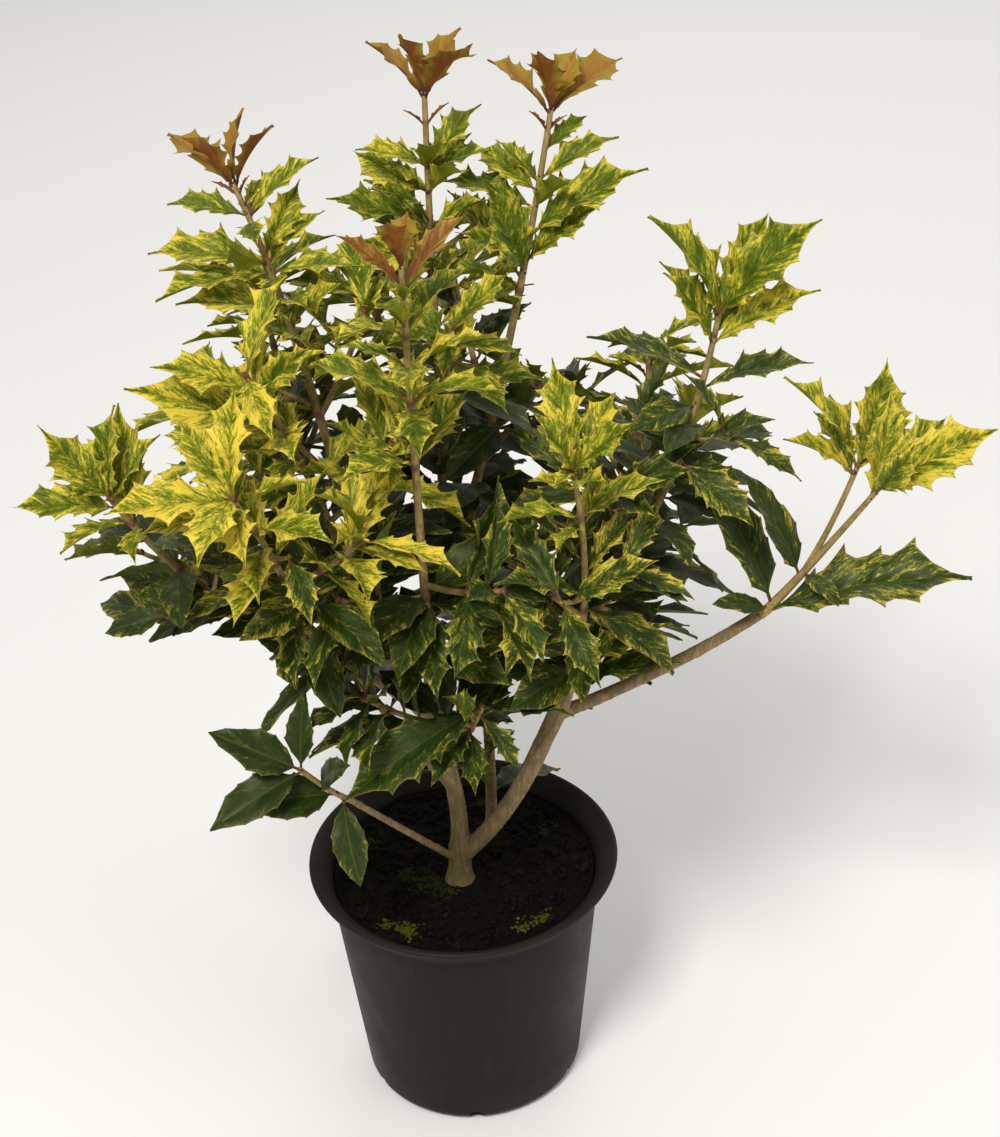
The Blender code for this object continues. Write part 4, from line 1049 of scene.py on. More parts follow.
UNDER_MARBLING = {
    "old": ((0.3, 0.45, 0.70), (0.62, 0.55, 0.66), (0.84, 0.80, 0.60)),
    "middle": ((0.3, 0.52, 0.85), (0.60, 0.60, 0.80), (0.82, 0.85, 0.76)),
    "young": ((0.3, 0.54, 0.98), (0.58, 0.60, 1.02), (0.80, 0.85, 0.95)),
    "copper": ((0.3, 0.10, 0.75), (0.60, 0.25, 0.85), (0.80, 0.60, 0.90)),
    "bronze": ((0.3, 0.0, 0.80), (0.60, 0.10, 0.95), (0.85, 0.45, 1.0)),
}
MARGIN_SHARE = {"old": 0.20, "middle": 0.35, "young": 0.65, "copper": 0.50, "bronze": 0.45}
MARGIN_COLOUR = (0.52, 0.36, 0.11)
BRONZE_MARGIN = (0.30, 0.13, 0.035)
EDGE_YELLOW = {"old": 0.07, "middle": 0.09, "young": 0.08, "copper": 0.06, "bronze": 0.05}
CUP_OLIVE = (0.26, 0.21, 0.022)
LEAF_ROUGHNESS = {"old": 0.42, "middle": 0.45, "young": 0.50, "copper": 0.48, "bronze": 0.50}
LEAF_SPECULAR = {"old": 0.30, "middle": 0.28, "young": 0.22, "copper": 0.26, "bronze": 0.22}
LEAF_GLINT = (1.0, 0.93, 0.66, 1)
UNDER_ROUGHER = 0.16
VEIN_SLANT = (0.90, 0.44)
PATCH_SIZE = (0.30, 0.065)
FLECKS_FINER = 4.2
SPECKS_FINER = 11.0


def geometric(first, second, share, brightness):
    """A colour between two, mixed channel by channel in proportion, times a brightness."""
    return tuple(brightness * a ** (1 - share) * b**share for a, b in zip(first, second))


def leaf_material(colours, kind, under):
    """Marbled leaf colours in streaks that slant along the side veins, plainer underneath."""
    side = "under" if under else "upper"
    material, tree, shader = start_material(f"leaf_{kind}_{side}", LEAF_ROUGHNESS[kind] + UNDER_ROUGHER * under)
    along, across, number, tone, signed, edge = leaf_place(tree)
    slant, rise = VEIN_SLANT
    along_vein = maths(tree, "ADD", maths(tree, "MULTIPLY", along, slant), maths(tree, "MULTIPLY", across, rise))
    across_vein = maths(
        tree, "SUBTRACT", maths(tree, "MULTIPLY", along, rise), maths(tree, "MULTIPLY", across, slant)
    )
    side_number = maths(tree, "ADD", number, maths(tree, "MULTIPLY", maths(tree, "SIGN", signed), 3.7))
    streak = tree.nodes.new("ShaderNodeCombineXYZ")
    put(tree, streak.inputs[0], maths(tree, "MULTIPLY", across_vein, PATCH_SIZE[0] / colours.marbling))
    put(tree, streak.inputs[1], maths(tree, "MULTIPLY", along_vein, PATCH_SIZE[1] / colours.marbling))
    put(tree, streak.inputs[2], side_number)
    patches = noise_value(tree, streak.outputs[0], 0.9, 2.0, 0.6, 1.1)
    flecks = noise_value(tree, streak.outputs[0], FLECKS_FINER, 4.0, 0.72, 0.6)
    specks = noise_value(tree, streak.outputs[0], SPECKS_FINER, 3.0, 0.7)
    value = patches
    for part, weight in ((flecks, 1.05), (specks, 0.60), (tone, 0.30)):
        value = maths(tree, "ADD", value, maths(tree, "MULTIPLY", maths(tree, "SUBTRACT", part, 0.5), weight))
    value = maths(tree, "ADD", value, spread(tree, edge, 0.30, 0.95, -0.06, EDGE_YELLOW[kind]))
    bright = colours.leaf_yellow[:3]
    if kind in ("copper", "bronze"):
        dark, bright = colours.bronze_brown[:3], colours.bronze_gold[:3]
    elif kind == "young":
        dark = colours.leaf_green[:3]
    else:
        dark = colours.old_green[:3]
    stops = UNDER_MARBLING[kind] if under else MARBLING[kind]
    colour = ramp(tree, value, [(place, geometric(dark, bright, share, level)) for place, share, level in stops])
    if kind == "bronze":
        inside = 0.1 if under else 0.3
        olive = maths(
            tree, "MULTIPLY", spread(tree, edge, 0.35 - inside, 0.85), spread(tree, patches, 0.42, 0.54, inside, 0.9)
        )
        colour = blend(tree, olive, colour, CUP_OLIVE)
    rib = spread(tree, across, 0.15, 0.55, 0.42, 0.0)
    colour = blend(tree, rib, colour, geometric(dark, bright, 0.62, 0.62))
    rim = maths(tree, "MULTIPLY", spread(tree, edge, 0.90, 1.0), spread(tree, flecks, 0.30, 0.55, 0.45, 1.0))
    rim = maths(tree, "MULTIPLY", rim, MARGIN_SHARE[kind])
    colour = blend(tree, rim, colour, BRONZE_MARGIN if kind == "bronze" else MARGIN_COLOUR)
    if kind in ("bronze", "copper"):
        foot = spread(tree, along, 3.0, 11.0, 0.92, 0.0)
    else:
        foot = spread(tree, along, 1.5, 7.5, 0.60 if kind == "old" else 0.80, 0.0)
    stalk = colours.leaf_stalk[:3]
    colour = blend(tree, foot, colour, [0.55 * c for c in stalk] if kind == "bronze" else stalk)
    tree.links.new(colour, shader.inputs["Base Color"])
    veins = maths(tree, "SINE", maths(tree, "MULTIPLY", across_vein, 1.25))
    ridges = maths(tree, "POWER", spread(tree, veins, 0.55, 1.0), 1.5)
    height = maths(tree, "SUBTRACT", maths(tree, "MULTIPLY", flecks, 0.30), maths(tree, "MULTIPLY", ridges, 0.30))
    if under:
        height = maths(tree, "MULTIPLY", height, -1.0)
    bump(tree, shader, height, 0.25, 0.0004)
    rough = LEAF_ROUGHNESS[kind] + UNDER_ROUGHER * under
    tree.links.new(spread(tree, flecks, 0.3, 0.7, rough, rough + 0.12), shader.inputs["Roughness"])
    shader.inputs["Specular IOR Level"].default_value = LEAF_SPECULAR[kind] * (0.7 if under else 1.0)
    shader.inputs["Specular Tint"].default_value = LEAF_GLINT
    return material


# Heights, in metres, between which the wood's green cast fades.
GREEN_WOOD = (0.122, 0.185)


def bark_material(name, dark, light, green, node=None, finer=1.0):
    """Smooth bark with long fibres, pale corky spots, a green cast, and tinted leaf nodes."""
    material, tree, shader = start_material(name, 0.74)
    place = object_place(tree)
    stretch = add_node(tree, "ShaderNodeMapping", Vector=place)
    stretch.inputs["Scale"].default_value = (1, 1, 0.16)
    fibres = noise_value(tree, stretch.outputs[0], 700 * finer, 4.0, 0.6)
    blotches = noise_value(tree, place, 110 * finer, 3.0, 0.6, 0.4)
    spots = add_node(tree, "ShaderNodeTexVoronoi", Vector=place, Scale=430 * finer).outputs[0]
    colour = blend(tree, spread(tree, fibres, 0.34, 0.68), dark, light)
    colour = blend(tree, spread(tree, blotches, 0.46, 0.66, 0.0, 0.75), colour, green)
    cork = spread(tree, spots, 0.05, 0.15, 0.40, 0.0)
    colour = blend(tree, cork, colour, tuple(min(1.5 * c, 1) for c in light))
    parts = add_node(tree, "ShaderNodeSeparateXYZ", Vector=place)
    low = spread(tree, parts.outputs[2], *GREEN_WOOD, 0.75, 0.0)
    colour = blend(tree, low, colour, blend(tree, fibres, tuple(0.5 * c for c in green), green))
    if node:
        colour = blend(tree, spread(tree, attribute(tree, "tone"), 0.05, 0.8, 0.0, 0.75), colour, node)
    tree.links.new(colour, shader.inputs["Base Color"])
    shader.inputs["Specular IOR Level"].default_value = 0.25
    height = maths(tree, "ADD", fibres, maths(tree, "MULTIPLY", cork, 0.8))
    bump(tree, shader, height, 0.4, 0.0004)
    return material


def pot_material(plastic, dust_and_lip_light):
    """Black moulded plastic with dust, water marks and scuffs; the lip grows lighter toward its top, partly dust and
    partly painted light.
    """
    material, tree, shader = start_material("nursery_plastic", 0.5)
    place = object_place(tree)
    parts = add_node(tree, "ShaderNodeSeparateXYZ", Vector=place)
    cloud = noise_value(tree, place, 24, 5.0, 0.62, 0.3)
    grain = noise_value(tree, place, 900, 2.0, 0.5)
    streak = add_node(tree, "ShaderNodeMapping", Vector=place)
    streak.inputs["Scale"].default_value = (1, 1, 0.12)
    runs = noise_value(tree, streak.outputs[0], 120, 3.0, 0.6)
    scuffs = spread(tree, noise_value(tree, place, 150, 6.0, 0.75, 0.2), 0.64, 0.74, 0.0, 0.5)
    colour = blend(tree, spread(tree, cloud, 0.42, 0.72, 0.0, 0.30), plastic, dust_and_lip_light)
    colour = blend(tree, spread(tree, runs, 0.56, 0.78, 0.0, 0.22), colour, dust_and_lip_light)
    colour = blend(tree, scuffs, colour, dust_and_lip_light)
    # Lip lighter toward its top: partly dust, partly painted light where the rolled lip catches the light.
    colour = blend(tree, spread(tree, parts.outputs[2], 0.119, 0.128, 0.0, 0.30), colour, dust_and_lip_light)
    foot = maths(tree, "MULTIPLY", spread(tree, parts.outputs[2], 0.0, 0.02, 1.0, 0.0), spread(tree, cloud, 0.4, 0.6))
    colour = blend(tree, maths(tree, "MULTIPLY", foot, 0.6), colour, dust_and_lip_light)
    tree.links.new(colour, shader.inputs["Base Color"])
    shader.inputs["Specular IOR Level"].default_value = 0.14
    tree.links.new(spread(tree, cloud, 0.35, 0.7, 0.46, 0.66), shader.inputs["Roughness"])
    bump(tree, shader, maths(tree, "ADD", grain, maths(tree, "MULTIPLY", runs, 0.4)), 0.18, 0.0002)
    return material


def soil_material(name, dark, light):
    """Damp peat, or the crumbs and chips of wood in it."""
    material, tree, shader = start_material(name, 0.92)
    place = object_place(tree)
    crumbs = noise_value(tree, place, 420, 5.0, 0.7)
    damp = noise_value(tree, place, 45, 3.0, 0.6)
    colour = blend(tree, spread(tree, crumbs, 0.40, 0.68), dark, light)
    colour = blend(tree, spread(tree, damp, 0.4, 0.65, 0.0, 0.55), colour, dark)
    tree.links.new(colour, shader.inputs["Base Color"])
    shader.inputs["Specular IOR Level"].default_value = 0.12
    tree.links.new(spread(tree, damp, 0.4, 0.65, 0.95, 0.78), shader.inputs["Roughness"])
    bump(tree, shader, crumbs, 0.8, 0.0012)
    return material


def moss_material(name, moss):
    """Green moss, with painted shade between its tufts."""
    material, tree, shader = start_material(name, 0.9)
    place = object_place(tree)
    tufts = noise_value(tree, place, 900, 3.0, 0.6)
    drifts = noise_value(tree, place, 90, 2.0, 0.5)
    # Painted shade: the low parts between the tufts are darkened.
    tuft_gap_shade = tuple(0.16 * c for c in moss)
    colour = blend(tree, spread(tree, tufts, 0.36, 0.64), tuft_gap_shade, moss)
    colour = blend(tree, spread(tree, drifts, 0.40, 0.60, 0.0, 0.6), colour, tuple(0.35 * c for c in moss))
    tree.links.new(colour, shader.inputs["Base Color"])
    shader.inputs["Specular IOR Level"].default_value = 0.1
    bump(tree, shader, tufts, 0.8, 0.0008)
    return material


# Meshes.


class MeshParts:
    """Vertices, polygons and per-vertex values of many like things, joined into one mesh."""

    def __init__(self):
        self.verts = []
        self.faces = []
        self.values = {}
        self.slots = []
        self.cells = []
        self.count = 0

    def add(self, verts, faces, slots=None, **values):
        """Adds one thing whose faces are an array of four corner numbers."""
        self.verts.append(verts)
        self.faces.append(faces + self.count)
        self.slots.append(np.zeros(len(faces), np.int32) if slots is None else slots)
        for key, value in values.items():
            self.values.setdefault(key, []).append(value)
        self.count += len(verts)

    def mesh(self, name, materials, sharp=None):
        """The joined mesh in metres, smooth up to an angle between faces."""
        verts = np.concatenate(self.verts).astype(np.float32) * MM
        faces = np.concatenate(self.faces).astype(np.int32)
        mesh = bpy.data.meshes.new(name)
        mesh.vertices.add(len(verts))
        mesh.vertices.foreach_set("co", verts.ravel())
        mesh.loops.add(faces.size)
        mesh.loops.foreach_set("vertex_index", faces.ravel())
        mesh.polygons.add(len(faces))
        mesh.polygons.foreach_set("loop_start", np.arange(0, faces.size, 4, dtype=np.int32))
        for material in materials:
            mesh.materials.append(material)
        mesh.polygons.foreach_set("material_index", np.concatenate(self.slots).astype(np.int32))
        for key, parts in self.values.items():
            data = np.concatenate(parts).astype(np.float32)
            if data.ndim == 2:
                mesh.attributes.new(key, "FLOAT_VECTOR", "POINT").data.foreach_set("vector", data.ravel())
            else:
                mesh.attributes.new(key, "FLOAT", "POINT").data.foreach_set("value", data)
        mesh.update(calc_edges=True)
        mesh.validate()
        mesh.shade_smooth()
        if sharp:
            mesh.set_sharp_from_angle(angle=math.radians(sharp))
        return mesh


def margin_rows(rng, kind):
    """Places on midrib and margin, reach and lift of each row of a leaf, tooth by tooth."""
    teeth = TEETH[kind]
    notch = NOTCH[kind] * rng.uniform(0.8, 1.15)
    marks = [(0.10, 0.10, 0.05, 0.0)]
    for tooth in teeth:
        shift = rng.uniform(-0.014, 0.014)
        reach = tooth.reach * rng.uniform(0.88, 1.08)
        marks.append((tooth.margin + shift, tooth.rib + shift, reach, tooth.lift * rng.uniform(0.4, 1.6)))
    marks.append((1.0, 1.0, 0.0, 0.0))
    rows = []
    for number, (a, b) in enumerate(zip(marks, marks[1:])):
        depth = notch * min(a[2], b[2])
        if number == 0:
            depth = notch * 0.12 * b[2]
        elif number == len(teeth):
            depth = notch * 0.95 * a[2]
        for q, gone, sag in SAWTOOTH:
            if number == 0:
                sag, gone = 4 * q * (1 - q), q
            reach = a[2] + (b[2] - a[2]) * gone - depth * sag
            lift = a[3] + (b[3] - a[3]) * gone
            rows.append((a[1] + (b[1] - a[1]) * q, a[0] + (b[0] - a[0]) * gone, reach, lift))
    rows.append((0.985, 0.99, 0.010, 0.0))
    return np.array(rows)


def midrib(leaf, place):
    """Points and upward normals along the leaf's bent midrib, for an array of places."""
    angle = leaf.bend * place
    ahead = np.sin(angle) / leaf.bend * leaf.length
    down = (1 - np.cos(angle)) / leaf.bend * leaf.length
    along = np.array(leaf.along)
    up = np.array(leaf.up)
    points = np.array(leaf.base) + along * ahead[..., None] - up * down[..., None]
    return points, up * np.cos(angle)[..., None] + along * np.sin(angle)[..., None]


def leaf_mesh(rng, parts, grown, number, thickness):
    """One closed leaf with its stalk, toothed wavy margin, crease and thickness over length."""
    leaf = grown.leaf
    rows = margin_rows(rng, grown.kind)
    start = ROOT_DEPTH * leaf.stem_radius / leaf.length
    stalk = np.array([[start, start, 0.0, 0.0], [0.055, 0.055, 0.0, 0.0], [0.09, 0.09, 0.01, 0.0]])
    rows = np.concatenate([stalk, rows])
    stalk_half = max(0.62, leaf.length * 0.013)
    cup = grown.kind == "bronze"
    width = leaf.width * (CUP_WIDER if cup else rng.uniform(*LEAF_NARROWER))
    twist = rng.uniform(-LEAF_TWIST, LEAF_TWIST) * rows[:, 0]
    half = np.maximum(rows[:, 2] * width, stalk_half * np.where(rows[:, 0] > 0.8, 0.25, 1.0))
    half[0:2] = stalk_half
    inner, inner_up = midrib(leaf, rows[:, 0])
    outer, outer_up = midrib(leaf, rows[:, 1])
    side = np.array(leaf.up.cross(leaf.along))
    blade = np.clip((rows[:, 0] - 0.08) / 0.06, 0, 1)
    thick = stalk_half * 1.5 * (1 - blade) + blade * max(0.40, leaf.length * thickness) * (1 - 0.5 * rows[:, 0])
    across = np.array(ACROSS)
    wave = LEAF_WAVE * width * np.sin(rows[:, 0] * (17 + 4 * rng.random()) + rng.random() * 6)
    ring = []
    place = []
    edge = []
    for top in (True, False):
        order = [(-1, v) for v in reversed(across[1:])] + [(1, v) for v in across]
        if not top:
            order = order[1:-1][::-1]
        for way, v in order:
            middle = inner * (1 - v) + outer * v
            up = inner_up * (1 - v) + outer_up * v
            crease = leaf.fold * (CUP_FOLD if cup else 1) * blade * (1.15 - 0.3 * v)
            reach = way * v * half * np.cos(crease)
            rise = v * half * np.sin(crease) + rows[:, 3] * width * v**2
            rise = rise + wave * blade * v * way + 0.02 * width * blade * math.sin(math.pi * v)
            body = thick * (0.5 + (0.35 if not top else -0.05) * (1 - v) ** 3) * (1 - v**3)
            rise = rise + (body if top else -body)
            edge.append(np.full(len(rows), v))
            turned = reach * np.cos(twist) - rise * np.sin(twist)
            rise = reach * np.sin(twist) + rise * np.cos(twist)
            ring.append(middle + side * turned[:, None] + up * rise[:, None])
            place.append(np.stack([rows[:, 0] * (1 - v) + rows[:, 1] * v, np.full(len(rows), float(way)) * v * half], 1))
    ring = np.stack(ring, 1)
    place = np.stack(place, 1)
    edge = np.stack(edge, 1).ravel()
    rings, sides = ring.shape[:2]
    verts = ring.reshape(-1, 3)
    data = np.zeros((len(verts), 3))
    data[:, :2] = place.reshape(-1, 2)
    data[:, 0] *= leaf.length
    data[:, 2] = number * 1.37
    corner = np.arange(rings * sides).reshape(rings, sides)
    turned = np.roll(corner, -1, axis=1)
    faces = np.stack([corner[:-1], turned[:-1], turned[1:], corner[1:]], -1).reshape(-1, 4)
    under = np.tile(np.arange(sides) >= 2 * (len(across) - 1), rings - 1).astype(np.int32)
    half_ring = len(across) - 1
    caps = []
    for row, flip in ((0, True), (rings - 1, False)):
        top_row = corner[row, : 2 * half_ring + 1]
        low_row = np.concatenate([[top_row[0]], corner[row, 2 * half_ring + 1 :][::-1], [top_row[-1]]])
        for k in range(2 * half_ring):
            quad = [top_row[k], top_row[k + 1], low_row[k + 1], low_row[k]]
            caps.append(quad[::-1] if not flip else quad)
    caps = np.array([q for q in caps if len(set(q)) == 4])
    faces = np.concatenate([faces, caps])
    under = np.concatenate([under, np.zeros(len(caps), np.int32)])
    parts.add(verts, faces, under, leaf_place=data, leaf_edge=edge, leaf_tone=np.full(len(verts), grown.tone))


def smooth_path(points, radii, step):
    """Points and radii of a smooth curve through a limb's points, about a step apart."""
    fine = []
    widths = []
    for i in range(len(points) - 1):
        before = points[max(i - 1, 0)]
        after = points[min(i + 2, len(points) - 1)]
        a, b = points[i], points[i + 1]
        pieces = max(int((b - a).length / step), 1)
        for k in range(pieces):
            t = k / pieces
            fine.append(
                0.5 * (2 * a + (b - before) * t + (2 * before - 5 * a + 4 * b - after) * t * t
                       + (3 * a - before - 3 * b + after) * t**3)
            )
            widths.append(radii[i] + (radii[i + 1] - radii[i]) * t)
    return fine + [points[-1]], widths + [radii[-1]]


def tube_parts(parts, points, radii, sides, tones=None):
    """A round tube with closed ends and a tone for each point, turned without twist."""
    normal = None
    rings = []
    for i, point in enumerate(points):
        ahead = (points[min(i + 1, len(points) - 1)] - points[max(i - 1, 0)]).normalized()
        if normal is None:
            normal = ahead.orthogonal().normalized()
        normal = (normal - ahead * normal.dot(ahead)).normalized()
        other = ahead.cross(normal)
        angles = np.arange(sides) * 2 * math.pi / sides
        ring = np.array(point) + radii[i] * (
            np.cos(angles)[:, None] * np.array(normal) + np.sin(angles)[:, None] * np.array(other)
        )
        rings.append(ring)
    verts = np.concatenate(rings)
    corner = np.arange(len(verts)).reshape(len(rings), sides)
    turned = np.roll(corner, -1, axis=1)
    faces = np.stack([corner[:-1], turned[:-1], turned[1:], corner[1:]], -1).reshape(-1, 4)
    caps = []
    for row, flip in ((corner[0], True), (corner[-1], False)):
        for k in range(1, sides // 2):
            quad = [row[k - 1], row[k], row[sides - 1 - k], row[(sides - k) % sides]]
            caps.append(quad[::-1] if flip else quad)
    tones = np.zeros(len(rings)) if tones is None else np.array(tones)
    parts.add(verts, np.concatenate([faces, np.array(caps)]), tone=np.repeat(tones, sides))


def swollen(points, radii, nodes):
    """Radii with a swelling where each pair of leaves grows, and how near each point is to one."""
    steps = [0.0]
    for a, b in zip(points, points[1:]):
        steps.append(steps[-1] + (b - a).length)
    widths = []
    tones = []
    for reach, radius in zip(steps, radii):
        bulge = sum(math.exp(-(((reach - node * steps[-1]) / NODE_SWELL_LENGTH) ** 2)) for node in nodes)
        widths.append(radius * (1 + NODE_SWELL * min(bulge, 1.2)))
        tones.append(min(bulge, 1))
    return widths, tones


# Operators.


class HOLLY_OT_stage(bpy.types.Operator):
    """Sets the floor, the soft lights and the camera at the photograph's angle"""

    bl_idname = "holly.stage"
    bl_label = "Stage"

    def execute(self, context):
        settings = context.scene.holly_stage
        floor = bpy.data.meshes.new("floor")
        bm = bmesh.new()
        bmesh.ops.create_grid(bm, x_segments=1, y_segments=1, size=6)
        bm.to_mesh(floor)
        bm.free()
        material, tree, shader = start_material("pale_floor", 0.9)
        shader.inputs["Base Color"].default_value = settings.floor_colour
        floor.materials.append(material)
        plane = bpy.data.objects.new("floor", floor)
        context.scene.collection.objects.link(plane)
        world = bpy.data.worlds.new("studio")
        context.scene.world = world
        world.use_nodes = True
        world.node_tree.nodes["Background"].inputs[0].default_value = FILL_COLOUR
        world.node_tree.nodes["Background"].inputs[1].default_value = settings.fill_light
        for name, place, size, power in LAMPS:
            data = bpy.data.lights.new(name, "AREA")
            data.size = size
            data.energy = power * settings.lamp_strength
            data.color = LAMP_COLOUR
            light = bpy.data.objects.new(name, data)
            light.location = place
            aim = Vector(LAMP_AIM) - Vector(place)
            light.rotation_euler = aim.to_track_quat("-Z", "Y").to_euler()
            context.scene.collection.objects.link(light)
        data = bpy.data.cameras.new("camera")
        data.sensor_fit = "HORIZONTAL"
        data.sensor_width = 36
        data.lens = CAMERA_FOCAL_PX * 36 / 1000
        data.clip_start = 0.01
        camera = bpy.data.objects.new("camera", data)
        rise = math.radians(CAMERA_RISE)
        roll = math.radians(CAMERA_ROLL)
        ahead = Vector((0, math.cos(rise), -math.sin(rise)))
        right = Vector((1, 0, 0))
        up = right.cross(ahead)
        across = math.cos(roll) * right + math.sin(roll) * up
        upward = -math.sin(roll) * right + math.cos(roll) * up
        pose = Matrix((across, upward, -ahead)).transposed().to_4x4()
        pose.translation = Vector(CAMERA_AIM) - ahead * CAMERA_DISTANCE
        camera.matrix_world = pose
        context.scene.collection.objects.link(camera)
        context.scene.camera = camera
        context.scene.view_settings.view_transform = "Standard"
        return {"FINISHED"}


class HOLLY_OT_pot(bpy.types.Operator):
    """Makes the nursery pot with its rolled lip and drain holes"""

    bl_idname = "holly.pot"
    bl_label = "Pot"

    def execute(self, context):
        colours = context.scene.holly_colours
        bm = bmesh.new()
        profile = pot_outline()
        verts = [bm.verts.new((r, 0, z)) for r, z in profile]
        edges = [bm.edges.new(pair) for pair in zip(verts, verts[1:])]
        bmesh.ops.spin(
            bm, geom=verts + edges, cent=(0, 0, 0), axis=(0, 0, 1), angle=2 * math.pi, steps=POT_TURN, use_merge=True
        )
        bmesh.ops.remove_doubles(bm, verts=bm.verts, dist=1e-6)
        bmesh.ops.recalc_face_normals(bm, faces=bm.faces)
        mesh = bpy.data.meshes.new("pot_wall")
        bm.to_mesh(mesh)
        bm.free()
        mesh.materials.append(pot_material(colours.pot[:3], colours.pot_dust_and_lip_light[:3]))
        pot = add_piece("pot_wall", mesh, ["pot"])
        cutters = bpy.data.collections.new("drain_holes")
        context.scene.collection.children.link(cutters)
        for i in range(DRAIN_HOLES):
            cutters.objects.link(drain_cutter(i))
        change = pot.modifiers.new("drain", "BOOLEAN")
        change.operation = "DIFFERENCE"
        change.solver = "EXACT"
        change.operand_type = "COLLECTION"
        change.collection = cutters
        context.view_layer.update()
        depsgraph = context.evaluated_depsgraph_get()
        cut = bpy.data.meshes.new_from_object(pot.evaluated_get(depsgraph), depsgraph=depsgraph)
        pot.modifiers.clear()
        pot.data = cut
        for cutter in list(cutters.objects):
            bpy.data.objects.remove(cutter)
        bpy.data.collections.remove(cutters)
        cut.shade_smooth()
        cut.set_sharp_from_angle(angle=math.radians(32))
        return {"FINISHED"}


def drain_cutter(number):
    """A short round bar where one drain hole goes."""
    bm = bmesh.new()
    bmesh.ops.create_cone(
        bm, cap_ends=True, segments=24, radius1=DRAIN_RADIUS, radius2=DRAIN_RADIUS, depth=DRAIN_LENGTH
    )
    mesh = bpy.data.meshes.new("drain")
    bm.to_mesh(mesh)
    bm.free()
    cutter = bpy.data.objects.new("drain", mesh)
    place = Matrix.Translation((DRAIN_PLACE[0], 0, DRAIN_PLACE[1]))
    turn = Matrix.Rotation(2 * math.pi * (number + 0.5) / DRAIN_HOLES, 4, "Z")
    cutter.matrix_world = turn @ place @ Matrix.Rotation(math.radians(DRAIN_SLOPE), 4, "Y")
    return cutter


def pot_outline():
    """The pot's section from the inner floor over the lip to the middle of the underside."""
    inner_heel = HEEL_RADIUS - WALL
    points = [(0, FLOOR_TOP), (inner_heel - 1.5 * MM, FLOOR_TOP), (inner_heel, FLOOR_TOP + 1.5 * MM)]
    for i in range(POT_FLARE_STEPS + 1):
        u = i / POT_FLARE_STEPS
        radius = NECK_RADIUS - WALL + (LIP_RADIUS - NECK_RADIUS) * u**LIP_CURVE
        points.append((radius, POT_HEIGHT - LIP_DEPTH * (1 - u)))
    for i in range(7):
        angle = math.pi * i / 6
        points.append((LIP_RADIUS - 1.4 * MM + 1.4 * MM * math.sin(angle),
                       POT_HEIGHT - LIP_EDGE / 2 + LIP_EDGE / 2 * math.cos(angle)))
    for i in range(POT_FLARE_STEPS - 1, -1, -1):
        u = i / POT_FLARE_STEPS
        radius = NECK_RADIUS + (LIP_RADIUS - NECK_RADIUS) * u**LIP_CURVE
        points.append((radius, POT_HEIGHT - LIP_EDGE - LIP_DEPTH * (1 - u)))
    for i in range(1, 12):
        u = i / 12
        top = POT_HEIGHT - LIP_EDGE - LIP_DEPTH
        points.append((NECK_RADIUS + (HEEL_RADIUS - NECK_RADIUS) * u, top + (HEEL_ROUND - top) * u))
    for i in range(7):
        angle = math.pi / 2 * i / 6
        radius = HEEL_RADIUS - HEEL_ROUND * (1 - math.cos(angle))
        points.append((radius, HEEL_ROUND * (1 - math.sin(angle))))
    points += [
        (CHANNEL_OUTER + CHANNEL_DEPTH, 0), (CHANNEL_OUTER, CHANNEL_DEPTH),
        (CHANNEL_INNER, CHANNEL_DEPTH), (CHANNEL_INNER - CHANNEL_DEPTH, 0), (0, 0),
    ]
    return points


def ground(x, y):
    """The soil's height at a place, in metres."""
    reach = math.hypot(x, y)
    height = SOIL_TOP - (SOIL_TOP - SOIL_EDGE) * (reach / SOIL_RINGS[0]) ** 2
    coarse = noise.noise(Vector((x, y, 0)) * 55) * 1.6 * MM
    fine = noise.fractal(Vector((x, y, 3)) * 190, 1.0, 2.0, 4) * SOIL_LUMP
    foot = math.hypot(x - TRUNK_FOOT[0] * MM, y - TRUNK_FOOT[1] * MM)
    level = min(max((foot - 0.008) / 0.02, 0), 1)
    return height + (coarse + fine) * (0.35 + 0.65 * level) + 0.6 * MM


